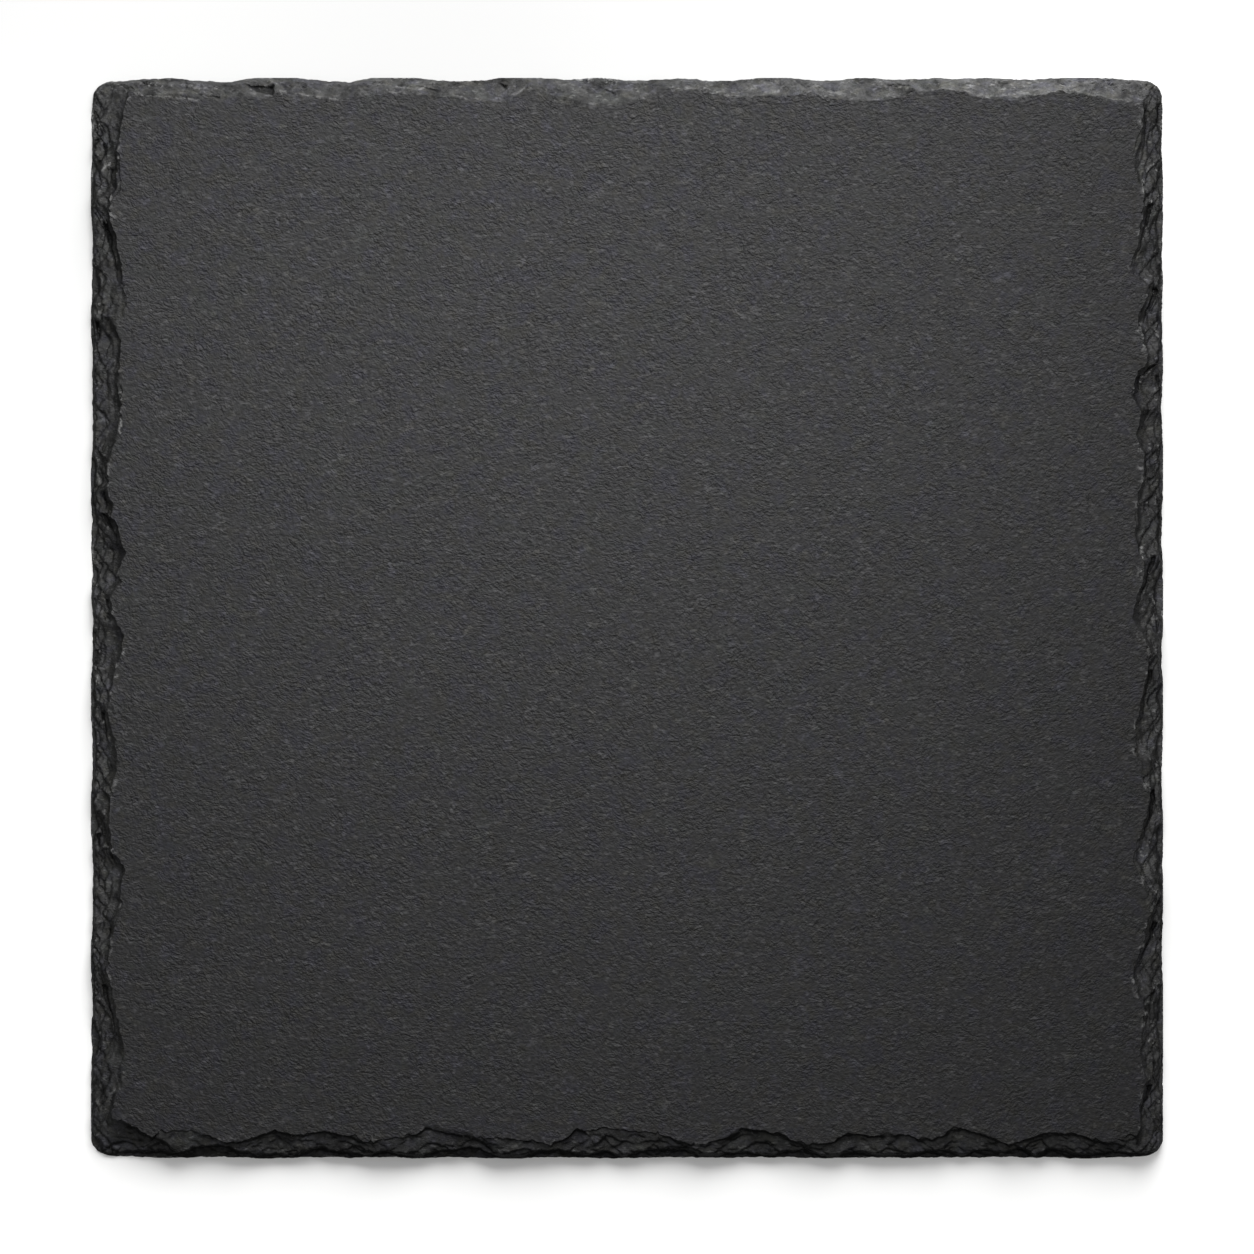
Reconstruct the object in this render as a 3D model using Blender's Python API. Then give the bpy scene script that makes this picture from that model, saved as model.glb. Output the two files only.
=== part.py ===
"""Slate serving board: one riven slab, dressed square by breaking its edge back in flakes.

The board lies on Z = 0 with the middle of its box at X = Y = 0. X runs from left to right,
Y from front to back. Each flake scar is one ellipsoidal hollow, cut from the slab with a Boolean.
A first tier of scars runs up to the top face and leaves its scalloped rim, and a second, lower
and steeper tier leaves the lip that meets the table.
"""

import math
import random
from dataclasses import dataclass

import bmesh
import bpy
from mathutils import Vector

MM = 0.001

# Driving dimensions of the slab
WIDTH = 250 * MM
DEPTH = 252 * MM
THICKNESS = 6 * MM
CORNER_RADIUS = 5 * MM
CORNER_SEGMENTS = 6

# Facets of a hollow's ellipsoid, around and from pole to pole
HOLLOW_SEGMENTS = 22
HOLLOW_RINGS = 12

# Lip scars: how long each is, and how far the lowest and the highest reach in
LIP_SPANS = (9 * MM, 17 * MM)
LIP_CUSP = 0.2 * MM
SEED = 7

# Corner scars, across each rounded corner
CORNER_SPAN = 9 * MM
CORNER_REACH = 3.6 * MM
CORNER_CUSP = 0.6 * MM

SLATE_COLOUR = (0.032, 0.032, 0.034, 1.0)
SLATE_ROUGHNESS = 0.62


@dataclass(frozen=True)
class Tier:
    """A row of scars, seen in section across the edge.

    A scar's hollow starts at height level, reach in from the side, and meets the side at height
    foot. The hollow's middle lies lean outside the side and rise above level.
    """

    level: float
    foot: float
    lean: float
    rise: float


RIM_TIER = Tier(level=THICKNESS, foot=2.1 * MM, lean=2.0 * MM, rise=2.5 * MM)
LIP_TIER = Tier(level=3.0 * MM, foot=-0.8 * MM, lean=1.2 * MM, rise=2.0 * MM)


@dataclass(frozen=True)
class Side:
    """One side of the board, its rim scars and how far its lip scars reach in.

    A rim scar is (start, end, reach, slant) in millimetres and degrees: it runs from start to end
    along the side, where neighbours meet cusp in from the side, and reaches furthest in at its
    middle, or nearer its end for a positive slant.
    """

    middle: tuple
    along: tuple
    inward: tuple
    cusp: float
    lip_reach: tuple
    rim_scars: tuple


BACK = Side(
    middle=(0, DEPTH / 2),
    along=(1, 0),
    inward=(0, -1),
    cusp=2.4 * MM,
    lip_reach=(0.6 * MM, 1.1 * MM),
    rim_scars=(
        (-118, -82, 4.9, 4),
        (-82, -57, 4.6, 4),
        (-57, -26, 5.3, 5),
        (-26, 8.5, 6.0, 0),
        (8.5, 32, 4.2, 0),
        (32, 43, 4.0, 0),
        (43, 69.5, 5.3, 0),
        (69.5, 100, 4.3, 0),
        (100, 121, 4.8, 5),
    ),
)
FRONT = Side(
    middle=(0, -DEPTH / 2),
    along=(1, 0),
    inward=(0, 1),
    cusp=3.1 * MM,
    lip_reach=(1.2 * MM, 2.3 * MM),
    rim_scars=(
        (-120, -109, 6.0, -8),
        (-109, -92, 6.8, -7),
        (-92, -78.5, 5.8, 0),
        (-78.5, -56.7, 6.2, -3),
        (-56.7, -18, 6.3, -3),
        (-18, 14.2, 6.3, -4),
        (14.2, 43.1, 7.2, 0),
        (43.1, 73.7, 5.7, 0),
        (73.7, 89.3, 6.0, -10),
        (89.3, 111.5, 5.6, 0),
        (111.5, 121, 5.8, 0),
    ),
)
LEFT = Side(
    middle=(-WIDTH / 2, 0),
    along=(0, 1),
    inward=(1, 0),
    cusp=3.8 * MM,
    lip_reach=(0.7 * MM, 1.4 * MM),
    rim_scars=(
        (-121, -110.5, 5.0, 0),
        (-110.5, -81.8, 7.3, -3),
        (-81.8, -70.4, 5.0, 0),
        (-70.4, -45.2, 7.4, 0),
        (-45.2, -38, 4.4, 0),
        (-38, -20, 6.1, -4),
        (-20, 5.6, 7.0, 0),
        (5.6, 40.1, 7.0, -4),
        (40.1, 56.7, 6.4, 0),
        (56.7, 71.6, 6.6, 0),
        (71.6, 94.7, 7.3, -6),
        (94.7, 122, 6.6, 4),
    ),
)
RIGHT = Side(
    middle=(WIDTH / 2, 0),
    along=(0, 1),
    inward=(-1, 0),
    cusp=3.9 * MM,
    lip_reach=(0.7 * MM, 1.4 * MM),
    rim_scars=(
        (-120, -108.9, 6.0, 0),
        (-108.9, -90.9, 5.2, 0),
        (-90.9, -70.4, 6.4, -4),
        (-70.4, -47, 6.3, 0),
        (-47, -40, 4.4, 0),
        (-40, -11.1, 6.5, 0),
        (-11.1, 12.6, 7.2, 0),
        (12.6, 33.4, 6.2, 0),
        (33.4, 50, 6.0, 0),
        (50, 63.5, 6.6, -7),
        (63.5, 76, 6.0, 0),
        (76, 99.4, 7.0, -5),
        (99.4, 121, 6.0, 0),
    ),
)


def clear_scene():
    """Remove what the file opened with."""
    for obj in list(bpy.data.objects):
        bpy.data.objects.remove(obj, do_unlink=True)


def new_collection(name, hidden=False):
    """Make a collection in the scene."""
    collection = bpy.data.collections.new(name)
    collection.hide_render = hidden
    bpy.context.scene.collection.children.link(collection)
    return collection


def move_to(obj, collection):
    """Put obj in collection alone."""
    for holder in list(obj.users_collection):
        holder.objects.unlink(obj)
    collection.objects.link(obj)


def slate_material():
    """Dark grey split slate, matt."""
    material = bpy.data.materials.new("slate")
    material.use_nodes = True
    shader = material.node_tree.nodes["Principled BSDF"]
    shader.inputs["Base Color"].default_value = SLATE_COLOUR
    shader.inputs["Roughness"].default_value = SLATE_ROUGHNESS
    shader.inputs["Metallic"].default_value = 0.0
    return material


def slab(collection):
    """The square-cut slab before its edge is dressed, with its four upright corners rounded."""
    bpy.ops.mesh.primitive_cube_add(size=1, location=(0, 0, THICKNESS / 2), scale=(WIDTH, DEPTH, THICKNESS))
    board = bpy.context.object
    bpy.ops.object.transform_apply(location=True, scale=True)
    board.name = board.data.name = "slate_board"
    move_to(board, collection)
    bm = bmesh.new()
    bm.from_mesh(board.data)
    uprights = [e for e in bm.edges if abs(e.verts[0].co.z - e.verts[1].co.z) > THICKNESS / 2]
    bmesh.ops.bevel(
        bm,
        geom=uprights,
        offset=CORNER_RADIUS,
        segments=CORNER_SEGMENTS,
        profile=0.5,
        affect="EDGES",
    )
    bm.to_mesh(board.data)
    bm.free()
    board.data.materials.append(slate_material())
    return board


def hollow_axes(half_span, cusp, reach, tier):
    """Semi-axes along, across and up of the hollow that passes through a scar's three edge points.

    Across the edge it passes (reach, level) and (0, foot), and at height level it passes
    (half_span, cusp).
    """
    across = reach + tier.lean
    down = tier.level - tier.foot + tier.rise
    scale = (across * down) ** 2 - (tier.lean * tier.rise) ** 2
    inverse_across = (down**2 - tier.rise**2) / scale
    inverse_down = (across**2 - tier.lean**2) / scale
    left_along = 1 - (cusp + tier.lean) ** 2 * inverse_across - tier.rise**2 * inverse_down
    return half_span / math.sqrt(left_along), 1 / math.sqrt(inverse_across), 1 / math.sqrt(inverse_down)


def hollow(name, point, along, inward, scar, cusp, tier, collection):
    """The ellipsoid that cuts one scar.

    point is where the side's positions are counted from, along and inward are the side's unit
    vectors, and scar is (start, end, reach, slant) in metres and degrees.
    """
    start, end, reach, slant = scar
    along, inward = Vector((*along, 0)), Vector((*inward, 0))
    place = Vector((*point, 0)) + along * (start + end) / 2 - inward * tier.lean
    place.z = tier.level + tier.rise
    turn = math.radians(slant) * along.cross(inward).z
    bpy.ops.mesh.primitive_uv_sphere_add(
        segments=HOLLOW_SEGMENTS,
        ring_count=HOLLOW_RINGS,
        radius=1,
        location=place,
        rotation=(0, 0, math.atan2(along.y, along.x) + turn),
        scale=hollow_axes((end - start) / 2, cusp, reach, tier),
    )
    cutter = bpy.context.object
    cutter.name = name
    cutter.hide_render = True
    cutter.display_type = "WIRE"
    move_to(cutter, collection)


def rim_hollows(name, side, collection):
    """The first tier of one side, from its list."""
    for number, (start, end, reach, slant) in enumerate(side.rim_scars, 1):
        scar = (start * MM, end * MM, reach * MM, slant)
        hollow(
            f"{name}_rim_{number:02d}",
            side.middle,
            side.along,
            side.inward,
            scar,
            side.cusp,
            RIM_TIER,
            collection,
        )


def lip_hollows(name, side, rng, collection):
    """The second tier of one side: scars of chance length and reach, end to end."""
    half_side = (WIDTH if side.along[0] else DEPTH) / 2
    start = -half_side
    number = 0
    while start < half_side:
        number += 1
        end = start + rng.uniform(*LIP_SPANS)
        scar = (start, end, rng.uniform(*side.lip_reach), 0)
        hollow(
            f"{name}_lip_{number:02d}",
            side.middle,
            side.along,
            side.inward,
            scar,
            LIP_CUSP,
            LIP_TIER,
            collection,
        )
        start = end


def corner_hollows(collection):
    """One rim scar across each rounded corner."""
    for x_sign in (-1, 1):
        for y_sign in (-1, 1):
            outward = Vector((x_sign, y_sign)).normalized()
            centre = Vector((x_sign * (WIDTH / 2 - CORNER_RADIUS), y_sign * (DEPTH / 2 - CORNER_RADIUS)))
            point = centre + outward * CORNER_RADIUS
            scar = (-CORNER_SPAN / 2, CORNER_SPAN / 2, CORNER_REACH, 0)
            hollow(
                f"corner_{'left' if x_sign < 0 else 'right'}_{'front' if y_sign < 0 else 'back'}",
                point,
                (-outward.y, outward.x),
                -outward,
                scar,
                CORNER_CUSP,
                RIM_TIER,
                collection,
            )


def dress(board, cutters):
    """Break the slab's edge: all the hollows are cut away at once."""
    cut = board.modifiers.new("dressed edge", "BOOLEAN")
    cut.operation = "DIFFERENCE"
    cut.operand_type = "COLLECTION"
    cut.collection = cutters
    cut.solver = "EXACT"


def main():
    """Build the board."""
    clear_scene()
    parts = new_collection("slate_serving_board")
    cutters = new_collection("edge_hollows", hidden=True)
    board = slab(parts)
    rng = random.Random(SEED)
    for name, side in (("back", BACK), ("front", FRONT), ("left", LEFT), ("right", RIGHT)):
        rim_hollows(name, side, cutters)
        lip_hollows(name, side, rng, cutters)
    corner_hollows(cutters)
    dress(board, cutters)


main()
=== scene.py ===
"""The looks of the slate serving board: a slab of split slate, dressed square by breaking its edge.

The board is one piece of stone, so there is one piece here too. It is modelled in four steps. The
slab's outline is drawn and raised as a fine wall of quads. The wall is dressed: every column of
quads is laid on a section through the broken edge, where flake scars, chips and the steps between
the slate's layers have been cut away. Then the riven face and the underside are closed in, and
two finishes go on, one for the split faces and one for the broken edge.

Lengths are in metres and heights are above the table.
"""

import logging
import math
import random
from collections.abc import Callable
from dataclasses import dataclass, replace
from enum import Enum

import bmesh
import bpy
import numpy as np
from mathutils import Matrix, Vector


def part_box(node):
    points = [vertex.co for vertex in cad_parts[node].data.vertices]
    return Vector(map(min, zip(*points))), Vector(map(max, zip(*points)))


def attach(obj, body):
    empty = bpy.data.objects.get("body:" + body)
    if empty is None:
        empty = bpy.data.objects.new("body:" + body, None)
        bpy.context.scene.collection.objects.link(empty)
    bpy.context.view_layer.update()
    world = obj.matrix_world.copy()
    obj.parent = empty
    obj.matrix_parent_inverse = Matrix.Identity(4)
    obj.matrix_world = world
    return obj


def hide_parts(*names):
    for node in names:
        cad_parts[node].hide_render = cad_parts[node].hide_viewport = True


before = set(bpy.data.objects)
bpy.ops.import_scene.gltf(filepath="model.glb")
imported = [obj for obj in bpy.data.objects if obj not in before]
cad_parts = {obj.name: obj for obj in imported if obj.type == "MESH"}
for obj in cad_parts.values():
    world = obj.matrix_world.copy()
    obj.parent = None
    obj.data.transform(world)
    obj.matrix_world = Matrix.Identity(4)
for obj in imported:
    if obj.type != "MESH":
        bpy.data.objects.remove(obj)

MM = 0.001
NODE = "slate_board"
NOTHING = 1e-12
LEVEL = 1e-6  # heights this close are the same
log = logging.getLogger("slate_board")

Array = np.ndarray
Run = tuple[tuple[float, float], ...]
Range = tuple[float, float]
Spot = tuple[float, float, float]
Colour = tuple[float, float, float, float]
Socket = bpy.types.NodeSocket
Feed = Socket | float | tuple[float, ...]


def mm(*lengths: float) -> tuple[float, ...]:
    """Lengths given in millimetres, in metres."""
    return tuple(length * MM for length in lengths)


def ease(share: Array) -> Array:
    """A smooth step from 0 at 0 to 1 at 1."""
    return share * share * (3 - 2 * share)


def read_mesh(
    items: bpy.types.bpy_prop_collection, name: str, width: int = 1, kind: type = float
) -> Array:
    """Read one property of a mesh's points, edges, corners or faces.

    Args:
        items: what is read from.
        name: the property.
        width: how many numbers each item has.
        kind: the type of number.

    Returns:
        One number for each item, or one row where it has several.
    """
    values = np.empty(len(items) * width, kind)
    items.foreach_get(name, values)
    return values.reshape(-1, width) if width > 1 else values


class ChanceField:
    """Smooth seeded noise over the board's plane, from about -1 to 1.

    Read a metre or more away, it is as good as another field.
    """

    LATTICE = 256
    GAIN = 1.6

    def __init__(self, seed: int) -> None:
        """Draw the slopes that the noise has at its lattice points.

        Args:
            seed: picks the field.
        """
        turns = np.random.default_rng(seed).uniform(0, 2 * math.pi, (self.LATTICE, self.LATTICE))
        self.slope_x, self.slope_y = np.cos(turns), np.sin(turns)

    def at(self, x: Array, y: Array, grain: float) -> Array:
        """Read the field.

        Args:
            x, y: places to read at.
            grain: the lattice's pitch, about half the length of a wave.

        Returns:
            One value for each place.
        """
        u, v = x / grain, y / grain
        i, j = np.floor(u).astype(int), np.floor(v).astype(int)
        total = np.zeros_like(u)
        for di in (0, 1):
            for dj in (0, 1):
                at = ((i + di) % self.LATTICE, (j + dj) % self.LATTICE)
                du, dv = u - i - di, v - j - dj
                weight = self._fade(1 - abs(du)) * self._fade(1 - abs(dv))
                total += weight * (self.slope_x[at] * du + self.slope_y[at] * dv)
        return self.GAIN * total

    @staticmethod
    def _fade(t: Array) -> Array:
        """A smooth step from 0 at 0 to 1 at 1."""
        return t * t * t * (t * (6 * t - 15) + 10)


class FacetField:
    """Seeded facets over the board's plane: shallow bowls that meet in sharp ridges."""

    LATTICE = 128
    BOWL = 0.45
    LEAN = 0.6
    LIFT = 0.3

    def __init__(self, seed: int) -> None:
        """Scatter the facets.

        Args:
            seed: picks the field.
        """
        chance = np.random.default_rng(seed)
        shape = (self.LATTICE, self.LATTICE)
        self.spot_x, self.spot_y = chance.uniform(0, 1, (2, *shape))
        self.slope_x, self.slope_y = chance.uniform(-self.LEAN, self.LEAN, (2, *shape))
        self.lift = chance.uniform(-self.LIFT, self.LIFT, shape)
        self.shade = chance.uniform(-1, 1, shape)

    def at(self, x: Array, y: Array, size: float) -> tuple[Array, Array]:
        """Read the field.

        Args:
            x, y: places to read at.
            size: about how wide a facet is.

        Returns:
            The height of each place, from about -1 to 0.5, and its facet's own shade, -1 to 1.
        """
        u, v = x / size, y / size
        i, j = np.floor(u).astype(int), np.floor(v).astype(int)
        lowest, shade = np.full(u.shape, np.inf), np.zeros(u.shape)
        for di in range(-2, 3):
            for dj in range(-2, 3):
                at = ((i + di) % self.LATTICE, (j + dj) % self.LATTICE)
                du = u - i - di - self.spot_x[at]
                dv = v - j - dj - self.spot_y[at]
                bowl = self.lift[at] + self.slope_x[at] * du + self.slope_y[at] * dv
                bowl += self.BOWL * (du * du + dv * dv)
                shade = np.where(bowl < lowest, self.shade[at], shade)
                lowest = np.minimum(lowest, bowl)
        return lowest, shade


@dataclass(frozen=True)
class Break:
    """How the stone parts under a row of blows, as a section outwards from a scar's inner end.

    Fields:
        level: height that the wall behind the scar rises to.
        drop: least and greatest height of that wall.
        wall: the wall's run: the shorter, the steeper it is.
        fall: least and greatest slope of the floor before it.
        tilt: least and greatest slope of the floor, down along the side.
        foot: least and greatest inset at which the floor comes down to the table, for scars
            that do, whose fall follows from it.
        set_in: how much further in than listed the scars lie.
        scoop: least and greatest depth that the middle is hollowed by.
    """

    level: float
    drop: Range
    wall: float
    fall: Range
    tilt: Range
    foot: Range | None = None
    set_in: float = 0.0
    scoop: Range = (0.0, 0.0)


@dataclass(frozen=True)
class ChanceRow:
    """A row of blows along a side that is left to chance.

    Fields:
        spans: least and greatest length of one.
        reach: least and greatest inset of its middle.
        rise: how much further in its middle lies than its ends.
        gaps: least and greatest room between two, where less than nothing is an overlap.
        drop: least and greatest height of the step, for flakes off the broken edge.
        fade: least and greatest run over which that step dies out.
    """

    spans: Range
    reach: Range
    rise: float = 20 * MM
    gaps: Range = mm(-1.5, 1.0)
    drop: Range = (0.0, 0.0)
    fade: Range = (MM, MM)


@dataclass(frozen=True)
class Blow:
    """Where one blow landed.

    The places, directions and knots are in the board's plane. A knot is (along, inset): the inner
    end of what came off runs straight from knot to knot, and leaves the last ones outwards.

    Fields:
        point: the middle of the side that it landed on.
        along, inward: unit vectors along the side and into the board.
        knots: its knots, in metres.
    """

    LEAVE = 0.75
    NEAR = 12 * MM

    point: tuple[float, float]
    along: tuple[float, float]
    inward: tuple[float, float]
    knots: Run

    @property
    def middle(self) -> float:
        """How far along the side its middle is."""
        return (self.knots[0][0] + self.knots[-1][0]) / 2

    def beyond(self, x: Array, y: Array) -> tuple[tuple, Array, Array]:
        """Find the places that the blow may have reached.

        Args:
            x, y: places on the board.

        Returns:
            Which places those are, how far along the side they are, and how far they are out from
            the inner end.
        """
        along = (x - self.point[0]) * self.along[0] + (y - self.point[1]) * self.along[1]
        start, end = self.knots[0][0], self.knots[-1][0]
        near = np.nonzero((along > start - self.NEAR) & (along < end + self.NEAR))
        dx, dy = x[near] - self.point[0], y[near] - self.point[1]
        along = along[near]
        inner = np.interp(along, [knot[0] for knot in self.knots], [knot[1] for knot in self.knots])
        inner -= self.LEAVE * (np.maximum(start - along, 0) + np.maximum(along - end, 0))
        return near, along, inner - (dx * self.inward[0] + dy * self.inward[1])


@dataclass(frozen=True)
class Chip(Blow):
    """A small flake off the broken edge: a step down that fades away beyond its line.

    Fields:
        drop: the step's height.
        fade: the run over which it dies out.
    """

    drop: float
    fade: float

    def cut(self, x: Array, y: Array, height: Array) -> None:
        """Lower height, in place, beyond the chip's line."""
        near, _, out = self.beyond(x, y)
        height[near] -= np.where(out > 0, self.drop * np.exp(-np.maximum(out, 0) / self.fade), 0)


@dataclass(frozen=True)
class Pit(Blow):
    """A hollow behind a flake that stayed on: it widens and deepens along its line.

    Fields:
        width: how wide it is where it ends.
        depth: how deep it is for its width.
    """

    END = 0.25 * MM
    STEEP = 4.0
    NARROW = 0.001

    width: float
    depth: float

    def cut(self, x: Array, y: Array, height: Array) -> None:
        """Lower height, in place, behind the pit's line."""
        near, width, hollow = self.hollow(x, y)
        height[near] -= self.depth * width * hollow

    def hollow(self, x: Array, y: Array) -> tuple[tuple, Array, Array]:
        """Find the pit.

        Args:
            x, y: places on the board.

        Returns:
            Which places may be in it, how wide it is there and how far into it they are.
        """
        near, along, out = self.beyond(x, y)
        start, end = self.knots[0][0], self.knots[-1][0]
        width = self.width * np.clip((along - start) / (end - start), self.NARROW, 1)
        share = -out / width
        hollow = np.clip(self.STEEP * share, 0, 1) * np.clip(self.STEEP * (1 - share), 0, 1)
        return near, width, hollow * np.clip((end - along) / self.END, 0, 1)


@dataclass(frozen=True)
class Scar(Blow):
    """What a hard blow took off: a steep wall behind a hollowed floor that falls away outwards.

    Fields:
        level, drop, wall: height that the wall rises to, its own height and its run.
        fall, tilt: the floor's slope outwards and along the side.
        scoop: how deep the middle is hollowed.
    """

    SCOOP_RUN = 1.5 * MM

    level: float
    drop: float
    wall: float
    fall: float
    tilt: float
    scoop: float

    def cut(self, x: Array, y: Array, height: Array) -> None:
        """Lower height to the scar wherever that is lower.

        Args:
            x, y: places on the board.
            height: the stone's height there, changed in place.
        """
        near, along, out = self.beyond(x, y)
        run = np.maximum(out, 0)
        share = 2 * (along - self.middle) / (self.knots[-1][0] - self.knots[0][0])
        floor = self.level - self.drop * (1 - np.exp(-run / self.wall))
        floor -= self.fall * out + self.tilt * (along - self.middle)
        floor -= self.scoop * np.maximum(1 - share * share, 0) * (1 - np.exp(-run / self.SCOOP_RUN))
        height[near] = np.where(out > 0, np.minimum(height[near], floor), height[near])


@dataclass(frozen=True)
class Side:
    """One side of the board and the scars along its edge.

    Fields:
        along, inward: unit vectors along the side and into the board.
        rim: the scars that reach the face, each a run of (along, inset) knots in millimetres.
        lip: the scars along the foot, likewise, or None where they are left to chance.
        rim_break, step_break, lip_break: how the stone parts in each row, from the top down.
        step_reach, lip_reach: least and greatest inset of the chance scars.
        peels: thin flakes off the face past the rim, as runs of knots.
        crumble: how much the broken edge has crumbled, as a share.
        depths: how deep the rim's scars are, as shares, where they differ from 1.
        pits: lines behind which the broken edge drops inwards, as runs of knots, each with how
            wide the pit is where it ends.
        outline: how far in from the slab's side the foot lies, as one run of knots.
        bruised: how far the crests are crushed pale, as a share.
        crushed: pale lines where the stone is crushed, as runs of knots.
        crush: how pale those lines are, as a share.
        shade: how pale the broken stone is painted, as one run of (along, share) knots: partly its
            own paleness, partly painted light, most along the back edge that faces the lamp.
        steep_painted_shade: how much lighter it is painted where it is steep, as a share: painted
            shade where below 0, painted light where above 0.
        patchy: how much its painted shade differs at random from facet to facet, as a share.
        rugged: how high its facets stand, as a share.
    """

    along: tuple[int, int]
    inward: tuple[int, int]
    rim: tuple[Run, ...]
    lip: tuple[Run, ...] | None
    rim_break: Break
    step_break: Break
    lip_break: Break
    step_reach: Range
    lip_reach: Range
    peels: tuple[Run, ...]
    crumble: float = 1.0
    depths: tuple[float, ...] = ()
    pits: tuple[tuple[Run, float], ...] = ()
    outline: Run = ()
    bruised: float = 1.0
    crushed: tuple[Run, ...] = ()
    crush: float = 1.0
    # painted light and shade of the broken stone, with its own paleness
    shade: Run = ((0, 1.0),)
    steep_painted_shade: float = 0.0
    patchy: float = 0.2
    rugged: float = 0.7


# What the left and right sides have in common.
UPRIGHT = {
    "along": (0, 1),
    "lip": None,
    "rim_break": Break(
        level=6 * MM,
        drop=mm(0.4, 1.2),
        wall=0.22 * MM,
        fall=(0.28, 0.42),
        tilt=(0.02, 0.1),
        set_in=0.4 * MM,
        scoop=mm(0.4, 1.0),
    ),
    "step_break": Break(4.4 * MM, mm(0.4, 1.0), 0.2 * MM, (0.3, 0.5), (0, 0.1)),
    "lip_break": Break(2.6 * MM, mm(0.8, 1.3), 0.18 * MM, (1, 1), (0, 0.01), mm(-0.4, 0.2)),
    "lip_reach": mm(0.9, 2.2),
    # painted shade on the steep parts of the left and right edges
    "steep_painted_shade": -0.6,
    "patchy": 0.3,
    "rugged": 0.5,
}


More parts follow.
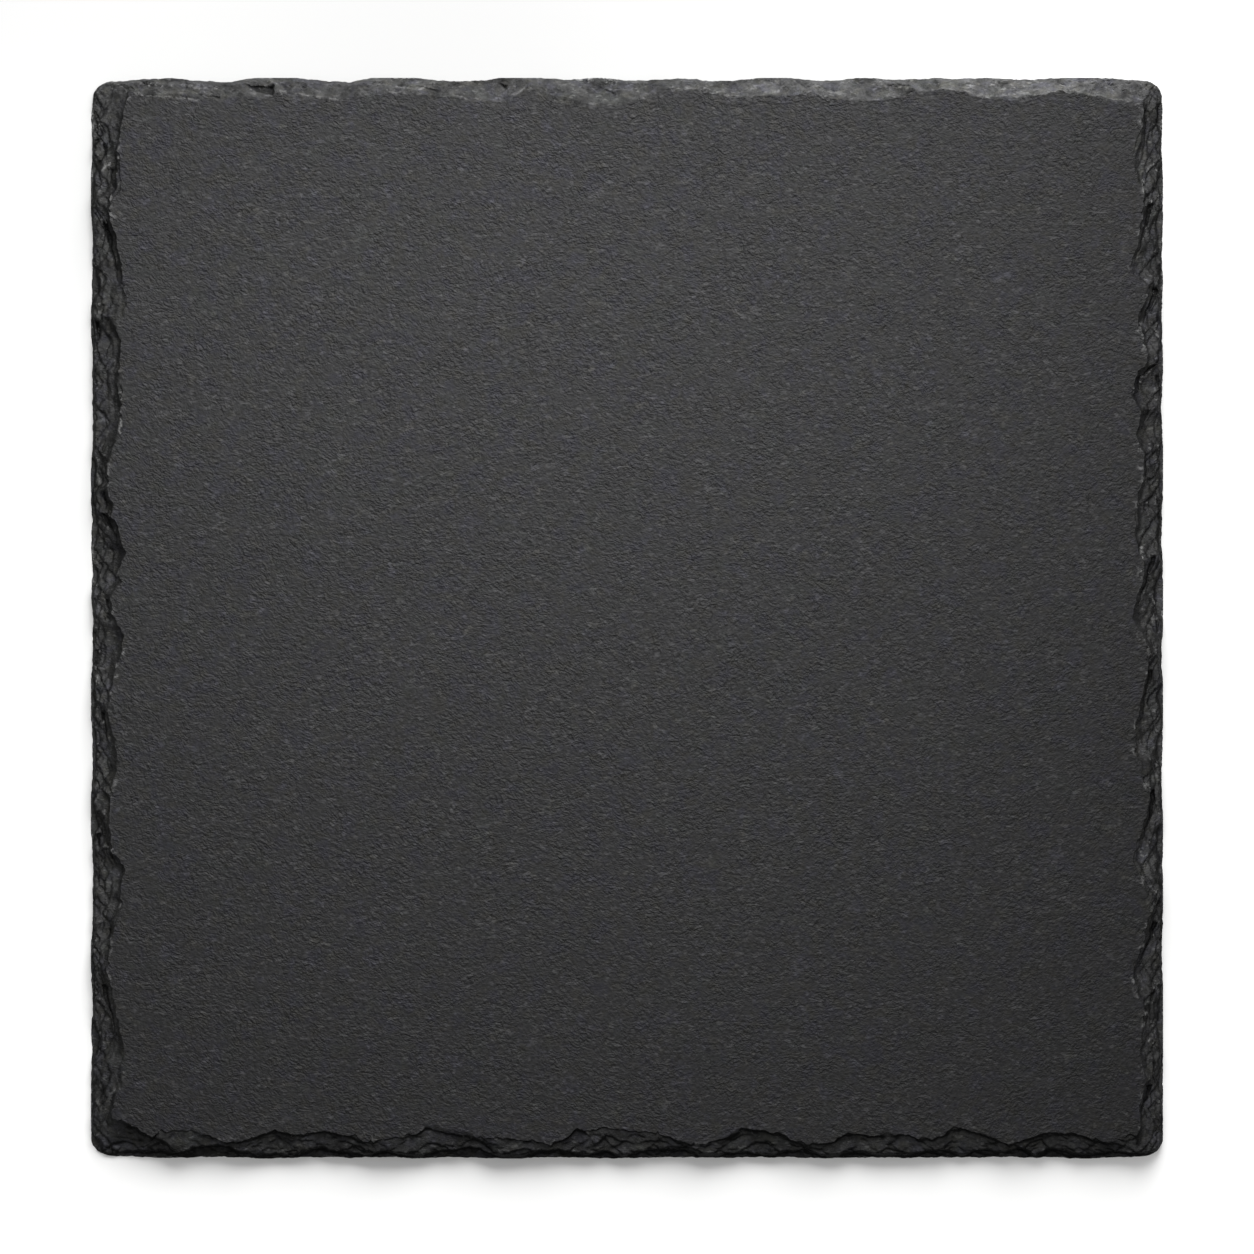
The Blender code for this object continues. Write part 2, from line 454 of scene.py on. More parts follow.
class SideOf(Enum):
    """The board's four sides."""

    BACK = Side(
        along=(1, 0),
        inward=(0, -1),
        rim=(
            ((-124, 3.4), (-113, 3.6), (-105, 3.9), (-99, 4.5), (-94.5, 5.3), (-88, 4.4)),
            ((-90, 3.4), (-86, 4.6), (-82.4, 4.8), (-81.8, 3.2)),
            ((-82, 3.1), (-75, 4.2), (-68, 5.3), (-61, 4.6), (-57, 3.4)),
            ((-57, 3.4), (-50, 3.9), (-43, 4.5), (-36, 5.2), (-29, 5.8), (-27, 4.9), (-24, 3.1)),
            ((-24, 3.1), (-18, 4.2), (-10, 6.2), (-4, 6.2), (2, 5.3), (8, 3)),
            ((8, 2.9), (12, 3), (17, 2.6)),
            ((17, 2.5), (20, 3.9), (27, 5), (33, 4), (39, 4.2), (43, 3.1)),
            ((43, 3.1), (48, 4.9), (57, 5.6), (62, 5.3), (67, 3.2)),
            ((67, 3.1), (72, 3), (77, 3.2)),
            ((77, 3.2), (81, 4.4), (87, 4.7), (95, 4.2), (100, 3.1)),
            ((100, 3.1), (107, 3.9), (113, 5), (118, 5.8), (124, 6)),
        ),
        lip=None,
        rim_break=Break(
            level=6 * MM,
            drop=mm(0.12, 0.5),
            wall=0.25 * MM,
            fall=(0.5, 0.8),
            tilt=(-0.06, 0.06),
            set_in=0.4 * MM,
            scoop=mm(0.2, 0.9),
        ),
        step_break=Break(4.4 * MM, mm(0.3, 0.7), 0.3 * MM, (0.5, 0.9), (-0.08, 0.08)),
        lip_break=Break(2.8 * MM, mm(0.5, 0.9), 0.3 * MM, (1, 1), (0, 0.01), mm(-0.4, 0.2)),
        step_reach=mm(1.6, 3.4),
        lip_reach=mm(0.9, 1.9),
        peels=(
            ((-112, 4.2), (-104, 5), (-97, 5.2)), ((-80, 3.6), (-76, 5), (-70, 5.6)),
            ((-20, 4.4), (-14, 6.2), (-8, 6.9), (-3, 6.6)), ((80, 4.3), (86, 5.3), (92, 4.9)),
        ),
        pits=(
            (((-89.5, 1.4), (-86, 2.2), (-82, 2.4)), 2.7),
            (((-49, 1.9), (-46.5, 2.5), (-43.8, 3.4)), 0.7), (((-99, 4), (-94.6, 4.9)), 0.5),
            (((-30.5, 1.2), (-28, 1.6)), 1.8), (((-7, 2.6), (-5.5, 2.8), (-2.8, 4.3)), 0.6),
            (((62, 1), (66, 1.8)), 0.7),
        ),
        outline=(
            (-125, 1.2), (-118, 0.8), (-106, 0.1), (-102, 0.7), (-93, 1.1), (-86, 0), (-78, 0.05),
            (-72, 0.7), (-65, 1.1), (-59, 0.05), (-51, 0), (-42, 0.9), (-34, 0.8), (-29, 0),
            (-21, 0.05), (-13, 0.6), (-7, 0.05), (2, 0.8), (13, 0.3), (19, 0.8), (25, 0.8), (32, 0),
            (37, 0), (44, 0.8), (49, 0.7), (55, 0), (62, 0.6), (73, 0.15), (76, 0.4), (84, 0.1),
            (94, 0.6), (103, 0), (110, 0), (117, 0.6), (125, 0.8),
        ),
        bruised=0.6,
        crushed=(
            ((-113, 3.9), (-105, 4.6), (-99, 5.1)), ((-104, 1.4), (-99, 2.1), (-95, 2.2)),
            ((-81, 3.2), (-79, 3.6)), ((-76, 3.8), (-70, 4.6), (-66, 5.2)),
            ((-57, 2.8), (-55, 3.2), (-49, 3.4)), ((-54, 1.6), (-49, 2.3), (-46, 1.9)),
            ((-38.5, 4.7), (-37, 5)), ((-27, 4.1), (-25.5, 3.3), (-24, 2.4)),
            ((-3.4, 6.2), (-2, 5.9)), ((9, 2.4), (12, 2.9), (15, 2.5), (18, 2)),
            ((19, 3.4), (23, 4.3), (27, 4.8)), ((31, 0.8), (34, 1)), ((33, 3.4), (35.5, 3.1)),
            ((45, 2.4), (49, 3.3), (52, 4.2)), ((67, 3.1), (69, 2.6)),
            ((70.5, 2.6), (75, 2.8), (77.5, 3.2)), ((81, 4.2), (86, 4.6)), ((91, 3.4), (95, 3.8)),
            ((98, 3.4), (101, 3.1), (105, 3.7)), ((102, 1.1), (107, 0.7)),
            ((107, 3.6), (112, 4.6), (117, 5.5)),
        ),
        crush=0.6,
        # painted light along the back edge that faces the lamp, with the stone's own paleness
        shade=(
            (-125, 1.0), (-5, 1.05), (20, 1.35), (75, 1.5), (90, 1.95), (106, 1.95), (125, 1.55),
        ),
        # painted light on the back edge's steep parts, which face the lamp
        steep_painted_shade=0.3,
        patchy=0.45,
        rugged=0.9,
    )
    FRONT = Side(
        along=(1, 0),
        inward=(0, 1),
        rim=(
            ((-126, 11), (-120.3, 9.4), (-116.5, 8.4), (-112.5, 6.2), (-108, 4.2), (-104.5, 2)),
            ((-111, 5.4), (-107, 6.8), (-105, 7.1), (-99.5, 6.1), (-96.5, 5.1), (-93, 3.5)),
            ((-93, 3.5), (-88, 4.4), (-85, 5.8), (-81, 6.6), (-76.5, 5.6), (-70, 6)),
            ((-80, 4.8), (-74.5, 5.8), (-71.5, 6.5), (-66, 5.6), (-61.5, 4.4), (-57, 3)),
            ((-57, 3.1), (-54, 5), (-49, 5.8), (-47, 7), (-42, 6.4), (-37, 5.2), (-33, 3.6)),
            ((-38, 4.4), (-34, 5.2), (-26, 4.8), (-22, 3.9), (-18, 3.4)),
            ((-18, 3.3), (-15, 4.8), (-13.5, 5.2), (-12, 7), (-10, 6.9), (-6.5, 3), (-5, 1.5)),
            ((-13, 4), (-9.5, 6.9), (0, 6.4), (5, 5.7), (10, 5.2), (14.5, 3.4)),
            ((14.5, 3.4), (20, 4.4), (23.5, 5.2), (27, 7.4), (33, 6.5), (38, 4.6), (42, 2.6)),
            ((42, 3.2), (46, 3.6), (50.5, 5.5), (54, 6), (58.5, 5.2)),
            ((57, 4.6), (59, 5.5), (65.5, 5.7), (70, 4.5), (74.5, 2.8)),
            ((71, 4.4), (75.5, 6.6), (77.5, 7.1), (82, 6), (85, 4.6), (88, 3.4)),
            ((89, 3.4), (92, 4.2), (96, 5.7), (100, 6.1), (107, 5.1), (112, 4), (118, 2.6)),
            ((109, 3.4), (112.5, 4.2), (117.5, 5.4), (119, 5.6), (126, 9)),
            ((-5, 5.2), (-1, 4.3), (4, 4.6), (9, 4.7), (12, 3.6), (15.5, 1.6)),
        ),
        lip=(
            ((-119, 1.6), (-115, 2.1), (-108, 1.7), (-104.5, 1.6)),
            ((-104.5, 1.6), (-101, 3), (-96, 3.3), (-91, 2.4), (-86, 1)),
            ((-86, 1.2), (-82, 1.9), (-79, 0.7)),
            ((-78, 0.6), (-75, 2.3), (-71, 2.9), (-66, 2.1), (-61, 1)),
            ((-61, 1.1), (-57, 1.9), (-53, 1.5), (-49, 0.7)),
            ((-48, 0.7), (-44, 2), (-38, 2.7), (-33, 2.1), (-28, 0.7)),
            ((-24.5, 0.7), (-21, 2.2), (-16, 2.4), (-10, 1.1)), ((-10, 0.9), (-6, 1.9), (-1, 0.9)),
            ((-1, 0.8), (3, 2.2), (8, 2.7), (13, 2.1), (17, 0.8)),
            ((20, 0.6), (23, 1.4), (28, 2), (32.5, 0.7)),
            ((32.5, 0.7), (37, 2.1), (41, 2.2), (46, 0.6)),
            ((47, 0.6), (51, 1.9), (55, 1.8), (60, 0.9)),
            ((60, 0.9), (64, 1.3), (70, 2.5), (76, 1.8), (78, 0.8)),
            ((78, 0.9), (82, 2.4), (88, 1.8), (92, 2.3), (95, 0.8)),
            ((95, 0.9), (98, 2.7), (103, 2), (108, 1)),
            ((108, 1), (113, 2.1), (119, 1.9), (124, 1.2)),
        ),
        rim_break=Break(
            level=6 * MM,
            drop=mm(0.35, 0.8),
            wall=0.22 * MM,
            fall=(0.1, 0.26),
            tilt=(-0.05, 0.05),
            set_in=0.4 * MM,
            scoop=mm(0.1, 0.5),
        ),
        step_break=Break(4.6 * MM, mm(0.2, 0.5), 0.15 * MM, (0.1, 0.25), (-0.05, 0.05)),
        lip_break=Break(3.2 * MM, mm(1.2, 1.7), 0.15 * MM, (1, 1), (0, 0.01), mm(-0.3, 0.2)),
        step_reach=mm(1.6, 3.6),
        lip_reach=mm(1.0, 2.6),
        peels=(
            ((-58.5, 4.2), (-56, 4.8), (-53, 5.2)),
            ((-48, 6.4), (-46, 7.5), (-40, 6.9), (-36, 5.6)),
            ((-10, 6.6), (-6, 7), (2, 6.8), (6, 6)),
        ),
        crumble=0.5,
        depths=(2.2, 0.5, 1.1, 1.0, 1.2, 0.6, 1.5, 0.5, 1.3, 1.2, 0.9, 1.2, 1.2, 0.7, 1.6),
        outline=(
            (-125, 0.9), (-115, 0.6), (-108, 0.25), (-94, 0.55), (-84, 0.1), (-72, 0.5), (-64, 0.3),
            (-56, 0.5), (-49, 0.15), (-41, 0.5), (-26, 0.05), (-18, 0.5), (-3, 0.15), (12, 0.5),
            (21, 0.25), (31, 0.5), (34, 0.35), (38, 0.5), (46, 0.15), (54, 0.4), (64, 0.3),
            (90, 0.5), (94, 0.3), (99, 0.5), (106, 0.05), (116, 0.5), (125, 0.8),
        ),
        bruised=0.3,
        crushed=(
            ((-95, 4.4), (-91, 4)), ((-81, 1.6), (-78.5, 2.2)), ((-59.5, 4.9), (-57, 4.3)),
            ((-48, 6.7), (-46.5, 7.2)), ((-36, 5.8), (-34, 5.4)),
            ((-30, 2.2), (-27.5, 2.4), (-25.5, 3.4)), ((-19.5, 3.5), (-17.5, 3.6), (-15.5, 5.4)),
            ((-9.5, 6.4), (-8, 4.8), (-6.5, 3.6)), ((16, 3.4), (19, 4.2)), ((43, 3.6), (46, 3.9)),
        ),
        crush=0.6,
        # painted shade on the front's steep walls and lenses; flat parts keep the stone's own
        # paleness
        shade=((0, 1.35),),
        steep_painted_shade=-0.9,
        patchy=0.3,
        rugged=0.4,
    )
    LEFT = Side(
        inward=(1, 0),
        rim=(
            ((-126, 5.6), (-121, 5), (-115, 4.9), (-110.5, 5.4)),
            ((-112, 4.8), (-108, 7.4), (-103.5, 7.4), (-99, 7.7), (-93, 6.3), (-87, 5),
             (-81.8, 3.9)),
            ((-82, 4), (-76, 4.6), (-72.5, 5.6), (-70, 5)),
            ((-71, 4.8), (-67, 7.1), (-60, 7.5), (-58, 7.6), (-55, 6), (-53, 3.4)),
            ((-54, 4.4), (-51, 4.8), (-46, 4.2), (-42, 4.5)),
            ((-42, 4.3), (-38, 5.9), (-32.5, 6.5), (-28, 5.2), (-22, 4)),
            ((-23, 4.1), (-15, 5), (-10, 6.3), (-5, 7.4), (-2.5, 7), (1, 4.9)),
            ((0, 5), (3, 5.2), (5, 4.4)),
            ((4, 4.6), (9, 6.4), (15.5, 8.4), (20, 6.6), (23, 5.6), (25, 3)),
            ((23, 4.6), (26, 5.2), (30, 4.1), (37, 3.9)),
            ((36, 4.1), (42, 6.2), (46, 6.9), (50, 6.4), (57, 6.2)),
            ((56, 6), (61, 7), (64.5, 7.4), (67, 6)),
            ((66, 5.6), (72.5, 8.5), (80, 7.2), (85, 6.4), (89, 5.8), (94, 4.2)),
            ((94, 4.1), (98, 4.6), (100, 6.1), (108, 6.1), (112, 6.9), (118, 7.8), (126, 9.2)),
        ),
        step_reach=mm(1.8, 4.6),
        peels=(
            ((-112, 5.6), (-107, 7.8), (-103, 8)), ((-75, 4.8), (-70, 6.4), (-66, 7.8)),
            ((41, 6), (44, 7.4), (47, 7.1)), ((50, 6.6), (53, 7.5), (57, 6.6)),
            ((96, 4.8), (100, 6.9), (108, 6.7)),
        ),
        pits=(
            (((-98, 6.6), (-92, 4.6), (-85.5, 2.5)), 1.7), (((-75.5, 4.9), (-72, 4.2)), 0.8),
            (((-57.5, 6.4), (-54.5, 4.2)), 1.2), (((-55, 2), (-50, 1.1)), 1.3),
            (((-30, 4), (-22, 2.4)), 1.2), (((-12, 1.8), (-7, 0.9)), 1.3),
            (((-1, 4.8), (4.5, 3.8)), 0.9), (((16, 7.2), (21, 4.9), (24.5, 2.5)), 1.5),
            (((24.5, 4), (29.5, 3)), 1.2), (((62.5, 1.8), (69, 1)), 1.5),
            (((76, 7), (84, 5), (92.5, 2.9)), 1.5), (((99, 5.2), (104.5, 4.6)), 1),
            (((106, 4), (110.5, 3)), 1.2), (((107, 1.2), (112, 0.8)), 1),
        ),
        outline=(
            (-125, 0.35), (-118, 0.05), (-112, 0), (-109, 0.05), (-100, 0.5), (-97, 0.15),
            (-90, 0.6), (-81, 0), (-76, 0.05), (-72, 0.5), (-56, 0.6), (-48, 0), (-42, 0.05),
            (-33, 0.6), (-25, 0.3), (-21, 0), (-15, 0.05), (-9, 0.5), (1, 0.6), (4, 0.15),
            (11, 0.6), (16, 0.2), (23, 0.4), (30, 0.05), (34, 0.05), (41, 0.5), (55, 0.45),
            (61, 0.6), (69, 0.05), (75, 0.35), (90, 0.5), (96, 0.05), (103, 0.15), (110, 0.5),
            (117, 0.2), (125, 0.8),
        ),
        bruised=0.5,
        crushed=(
            ((-114, 1.6), (-112, 1.2)), ((-111.5, 3.8), (-109.5, 5.4)),
            ((-108, 7.4), (-105.5, 7.9)), ((-102, 1.4), (-100.5, 1.9)), ((-97, 1.2), (-96, 2)),
            ((-84, 4.3), (-82, 4)), ((-77.5, 4.2), (-74.5, 5)), ((-67, 6.8), (-65.5, 7.3)),
            ((-54.7, 6), (-53, 3.8)), ((-50, 1), (-48.5, 1.7)), ((-46, 2.7), (-43, 3.1)),
            ((-42.5, 1.1), (-41, 1.6)), ((-39, 5.5), (-37.6, 6)), ((-26, 2.2), (-24, 2.8)),
            ((-19.5, 4.5), (-16.5, 4.9)), ((-14, 5.6), (-10, 6.2)), ((-8.5, 7), (-7, 7.5)),
            ((-15, 0.8), (-13, 1.6)), ((9.5, 5.8), (12, 7.3)), ((31, 4), (36, 3.9)),
            ((30, 2), (33, 1.2), (37, 1.6)), ((43, 6.6), (46, 7)), ((50.5, 6.8), (52.5, 7)),
            ((93, 4.7), (96, 4.3), (98.5, 4.7)), ((104, 2.4), (106, 4.6)),
            ((107, 6.3), (109.5, 6.8)),
        ),
        crush=1.2,
        # the stone's own paleness and painted light on the left edge
        shade=((-20, 1.95), (20, 1.65)),
        **UPRIGHT,
    )
    RIGHT = Side(
        inward=(-1, 0),
        rim=(
            ((-126, 6.8), (-120.5, 6.4), (-117, 5.3), (-113, 5.7), (-108.5, 4.2)),
            ((-109, 4.2), (-104, 5), (-99, 5.4), (-95, 4.7), (-91, 4.4)),
            ((-91, 4.3), (-87, 6.1), (-82.5, 6.9), (-77, 5.3), (-69.5, 3.6)),
            ((-70, 3.9), (-65, 4.3), (-60, 5), (-54, 6.3), (-48, 4.6), (-43, 3.4), (-38, 2.6)),
            ((-41, 3.8), (-36, 4.8), (-31, 6.5), (-25, 6.4), (-18, 4.9), (-11, 3.3)),
            ((-11, 3.1), (-5, 4), (-1.5, 6.6), (0.5, 7.6), (7, 5.4), (13, 4), (18, 2.6)),
            ((11, 4.1), (16, 5.7), (21, 6.1), (26, 6.1), (29, 2.8)),
            ((25, 5.2), (27, 6.2), (33, 4.3), (38, 4.5)),
            ((38, 4.5), (42, 6.3), (47, 5.3), (50, 3.5)),
            ((47, 4.4), (51, 7), (54, 6.8), (57.5, 5.2), (59.5, 3)),
            ((58, 4.2), (62, 3.6), (66, 4.9), (69, 6), (73, 4.6), (78, 3)),
            ((75, 4.2), (79, 5.8), (81.5, 7.8), (88, 5.8), (92, 5.4), (95, 4.2), (97, 2)),
            ((93, 5), (99, 4.2), (102, 6)),
            ((100, 4.4), (103, 6.1), (107, 6.3), (112, 5.1), (118, 4.3)),
            ((117, 4), (121, 4.8), (126, 5.5)),
        ),
        step_reach=mm(1.8, 4.4),
        peels=(
            ((-103, 5.2), (-98, 6), (-93, 5.2)), ((-60, 5.4), (-56, 6.8), (-52, 6.4)),
            ((18, 6.1), (24, 6.8), (29, 5.9)), ((104, 6.4), (108, 6.9), (113, 5.6)),
        ),
        pits=(
            (((-118, 6), (-112, 4.2), (-108.5, 2.8)), 1.3), (((-108, 2.4), (-103, 2)), 0.9),
            (((-95.5, 4.4), (-86.5, 2.4)), 0.7), (((-82, 6), (-76, 4), (-70.5, 1.4)), 1.5),
            (((-53, 5.4), (-47, 3.2), (-40, 1.8)), 1.6),
            (((-24, 5.6), (-17, 3.8), (-11.8, 2.3)), 1.3), (((-4, 1.8), (0, 0.6)), 1.2),
            (((0.5, 7), (7, 4.6), (14.5, 2)), 1.4), (((15.5, 0.9), (28, 0.7)), 0.9),
            (((26.6, 5.6), (28.8, 2.2)), 0.6), (((27, 5.6), (33, 3.9), (36.5, 4)), 0.5),
            (((43, 5.8), (49, 3.2)), 0.5), (((51, 6.6), (56, 5.2), (59, 1.8)), 1.2),
            (((49, 0.9), (57, 1)), 1.2), (((68, 5.2), (72.5, 3.2), (77, 0.8)), 2),
            (((82, 7.2), (88, 5), (96.5, 2.2)), 1.6), (((103, 5.8), (111, 4.6), (119, 3.8)), 0.7),
            (((111, 1), (120, 1)), 1.1),
        ),
        outline=(
            (-125, 0.3), (-119, 0.05), (-106, 0.2), (-99, 0), (-86, 0), (-80, 0.5), (-75, 0.4),
            (-66, 0), (-61, 0.05), (-57, 0.3), (-51, 0.05), (-45, 0.1), (-40, 0.45), (-34, 0.4),
            (-24, 0), (-17, 0.1), (-10, 0.5), (-2, 0.15), (9, 0.05), (17, 0.45), (25, 0.3),
            (30, 0.1), (41, 0.1), (50, 0.6), (58, 0.05), (65, 0.4), (71, 0.4), (78, 0.05),
            (85, 0.45), (98, 0.05), (110, 0.4), (119, 0.3), (125, 0.5),
        ),
        bruised=0.6,
        crushed=(
            ((-119, 6.9), (-117, 6.6)), ((-113, 5.4), (-110, 5.3)), ((-106, 4.6), (-104, 5.2)),
            ((-100.5, 5.4), (-98, 4.9)), ((-99, 3.8), (-97.5, 2.8), (-96.5, 2)),
            ((-95, 4.7), (-91.5, 4.2)), ((-88.5, 5.8), (-86, 6.6), (-83.5, 7.1)),
            ((-77.5, 5.1), (-75.5, 4.9)), ((-72, 4.6), (-70.5, 3.9)), ((-62, 4.8), (-59.5, 5)),
            ((-55.5, 4.2), (-53.5, 5.6)), ((-40, 3.6), (-38.5, 4.2)), ((-32, 6.8), (-30, 6.4)),
            ((-25.5, 6.4), (-23.5, 6.8)), ((-13, 3.8), (-11.5, 4.2)), ((-9, 2.8), (-7, 4.2)),
            ((-5, 4.8), (-3, 5.5)), ((3, 1.4), (5.5, 2.2)), ((9, 5.2), (12, 4.9)),
            ((13, 4.7), (16.5, 5)), ((25.5, 6.2), (27, 6.4)), ((31.5, 3.9), (33.5, 4.6)),
            ((34, 4.6), (36.5, 5)), ((38.5, 5.4), (40.5, 6)), ((39, 3.2), (41, 3.4)),
            ((62, 4.1), (64, 4.3)), ((66, 5.6), (69, 5.2)), ((65.5, 1), (67, 1.9)),
            ((81, 7.6), (82, 7.9)), ((89, 5.7), (91, 6)), ((98, 4.4), (102, 4.8)),
            ((104, 3.4), (106.5, 1.4)), ((115, 5.5), (117.5, 5.1)),
        ),
        crush=1.5,
        # the stone's own paleness and painted light on the right edge
        shade=((-30, 2.0), (20, 1.7)),
        **UPRIGHT,
    )


@dataclass
class Dressing:
    """All the blows that dress a slab of this size: where they land and what they take off.

    Fields:
        half_width, half_depth, thickness: the slab.
        seed: what every row of blows is drawn from.
        pit_depth: how deep a pit is for its width.
        step_spans, lip_spans: least and greatest length of the chance scars.
        cusp: least inset of a chance blow's ends.
        row_lead: least and greatest room, in millimetres, before a side that a row starts in.
        row_knots: where along a chance blow its knots are, as shares of it.
        row_arch, row_stray: how unevenly they are set in, and how far off they are moved.
        crumb_rim: inset of the crumbs where the rim has no scar, in millimetres.
        crumb_lean: where along a crumb its deepest knot is, as a share.
        least_run: least run of a floor that comes down to the foot.
        chip_rows: the rows of small flakes off the broken edge.
        crumbs: the row of crumbs off the face.
    """

    half_width: float
    half_depth: float
    thickness: float
    seed: int = 7
    pit_depth: float = 0.55
    step_spans: Range = mm(9, 24)
    lip_spans: Range = mm(8, 19)
    cusp: float = 0.25 * MM
    row_lead: Range = (0, 6)
    row_knots: tuple[float, ...] = (0.16, 0.38, 0.62, 0.84)
    row_arch: Range = (0.8, 1.2)
    row_stray: Range = (-0.06, 0.06)
    crumb_rim: float = 3.0
    crumb_lean: Range = (0.3, 0.7)
    least_run: float = 0.6 * MM
    chip_rows: tuple[ChanceRow, ...] = (
        ChanceRow(mm(4, 9), mm(3.5, 6.2), 1.6 * MM, (0, 6 * MM), mm(0.2, 0.6), mm(1, 3)),
        ChanceRow(mm(3, 8), mm(1.5, 4.5), 1.4 * MM, mm(-1, 3), mm(0.2, 0.6), mm(0.8, 2.4)),
        ChanceRow(mm(2, 5), mm(2.5, 5.5), 1.0 * MM, (0, 3 * MM), mm(0.15, 0.4), mm(0.5, 1.6)),
        ChanceRow(mm(2, 5), mm(0.9, 3.0), 0.9 * MM, (0, 3 * MM), mm(0.15, 0.4), mm(0.5, 1.6)),
    )
    crumbs: ChanceRow = ChanceRow(mm(1.2, 4.5), mm(0.1, 0.8), 1.1 * MM, mm(0.3, 5))

    def __post_init__(self) -> None:
        """Say how peels and crumbs come off the face."""
        off_face = {"level": self.thickness, "set_in": 0.4 * MM}
        peel = {"drop": mm(0.2, 0.4), "wall": 0.1 * MM, "fall": (0.01, 0.05), "tilt": (0, 0)}
        crumb = {"drop": mm(0.12, 0.35), "wall": 0.08 * MM, "fall": (0.03, 0.2)}
        self.peel = Break(**off_face, **peel)
        self.crumb = Break(**off_face, **crumb, tilt=(-0.02, 0.02))

    def strike(self) -> tuple[list[Scar], list[Chip | Pit]]:
        """Strike all four sides.

        Returns:
            The scars, and then the chips and pits.
        """
        rng = random.Random(self.seed)
        scars, chips = [], []
        for side in (named.value for named in SideOf):
            scars += self._strike_side(side, rng)
            chips += self._chip_side(side, rng)
        return scars, chips

    def _strike_side(self, side: Side, rng: random.Random) -> list[Scar]:
        """Strike all the scars of one side.

        Args:
            side: the side.
            rng: decides what the lists leave open.

        Returns:
            The scars.
        """
        found = []
        steps = ChanceRow(self.step_spans, side.step_reach)
        lips = ChanceRow(self.lip_spans, side.lip_reach)
        rows = (
            (side.rim, side.rim_break),
            (side.peels, self.peel),
            (self._crumb_row(side, rng), self.crumb),
            (self._row(side, steps, rng), side.step_break),
            (side.lip or self._row(side, lips, rng), side.lip_break),
        )
        for row, how in rows:
            found += [self._scar(side, run, how, rng) for run in row]
        for number, depth in enumerate(side.depths):
            scar = found[number]
            found[number] = replace(scar, drop=depth * scar.drop, fall=depth * scar.fall)
        return found

    def _chip_side(self, side: Side, rng: random.Random) -> list[Chip | Pit]:
        """Knock the small flakes and pits into one side's broken edge.

        Args:
            side: the side.
            rng: decides.

        Returns:
            The chips.
        """
        point = self.point(side)
        found = []
        for row in self.chip_rows:
            for run in self._row(side, row, rng):
                knots = self._metres(run)
                drop = side.crumble * rng.uniform(*row.drop)
                fade = rng.uniform(*row.fade)
                found.append(Chip(point, side.along, side.inward, knots, drop, fade))
        for run, width in side.pits:
            knots = self._metres(run)
            found.append(Pit(point, side.along, side.inward, knots, width * MM, self.pit_depth))
        return found

    def point(self, side: Side) -> tuple[float, float]:
        """The middle of a side."""
        return -side.inward[0] * self.half_width, -side.inward[1] * self.half_depth

    @staticmethod
    def _metres(run: Run, set_in: float = 0.0) -> Run:
        """A run of knots in metres, set in."""
        return tuple((along * MM, inset * MM + set_in) for along, inset in run)

    def _row(self, side: Side, row: ChanceRow, rng: random.Random) -> list[Run]:
        """Lay out a row of chance blows along a side.

        Args:
            side: the side.
            row: what they may be like.
            rng: decides.

        Returns:
            Their runs of knots, in millimetres.
        """
        half_side = self.half_width if side.along[0] else self.half_depth
        start, found = -half_side - rng.uniform(*self.row_lead) * MM, []
        while start < half_side:
            end = start + rng.uniform(*row.spans)
            deep = rng.uniform(*row.reach)
            ends = max(deep - row.rise, self.cusp)
            knots = [(start, ends)]
            for share in self.row_knots:
                arch = 1 - (2 * share - 1) ** 2
                inset = ends + (deep - ends) * arch * rng.uniform(*self.row_arch)
                along = start + (share + rng.uniform(*self.row_stray)) * (end - start)
                knots.append((along, inset))
            knots.append((end, ends))
            found.append(tuple((along / MM, inset / MM) for along, inset in knots))
            start = end + rng.uniform(*row.gaps)
        return found

    def _crumb_row(self, side: Side, rng: random.Random) -> list[Run]:
        """Lay out the crumbs that have come off the face along the rim.

        Args:
            side: the side.
            rng: decides.

        Returns:
            Their runs of knots, in millimetres.
        """
        half_side = self.half_width if side.along[0] else self.half_depth
        start, found = -half_side / MM, []
        while start < half_side / MM:
            end = start + rng.uniform(*self.crumbs.spans) / MM
            middle = (start + end) / 2
            over = [run for run in side.rim if run[0][0] <= middle <= run[-1][0]]
            rim = max((np.interp(middle, *zip(*run)) for run in over), default=self.crumb_rim)
            deep = rim + rng.uniform(*self.crumbs.reach) / MM
            ends = deep - self.crumbs.rise / MM
            lean = rng.uniform(*self.crumb_lean)
            found.append(((start, ends), (start + lean * (end - start), deep), (end, ends)))
            start = end + rng.uniform(*self.crumbs.gaps) / MM
        return found

    def _scar(self, side: Side, run: Run, how: Break, rng: random.Random) -> Scar:
        """Strike one scar.

        Args:
            side: the side that it is on.
            run: its knots, in millimetres.
            how: the way the stone parts.
            rng: decides within that.

        Returns:
            The scar.
        """
        drop, fall = rng.uniform(*how.drop), rng.uniform(*how.fall)
        if how.foot:
            deepest = max(inset for _, inset in run) * MM
            fall = (how.level - drop) / max(deepest - rng.uniform(*how.foot), self.least_run)
        return Scar(
            self.point(side),
            side.along,
            side.inward,
            self._metres(run, how.set_in),
            how.level,
            drop,
            how.wall,
            fall,
            rng.uniform(*how.tilt),
            rng.uniform(*how.scoop),
        )


# What a side says, given it and how far along it the places are.
Reading = Callable[[Side, Array], Array]


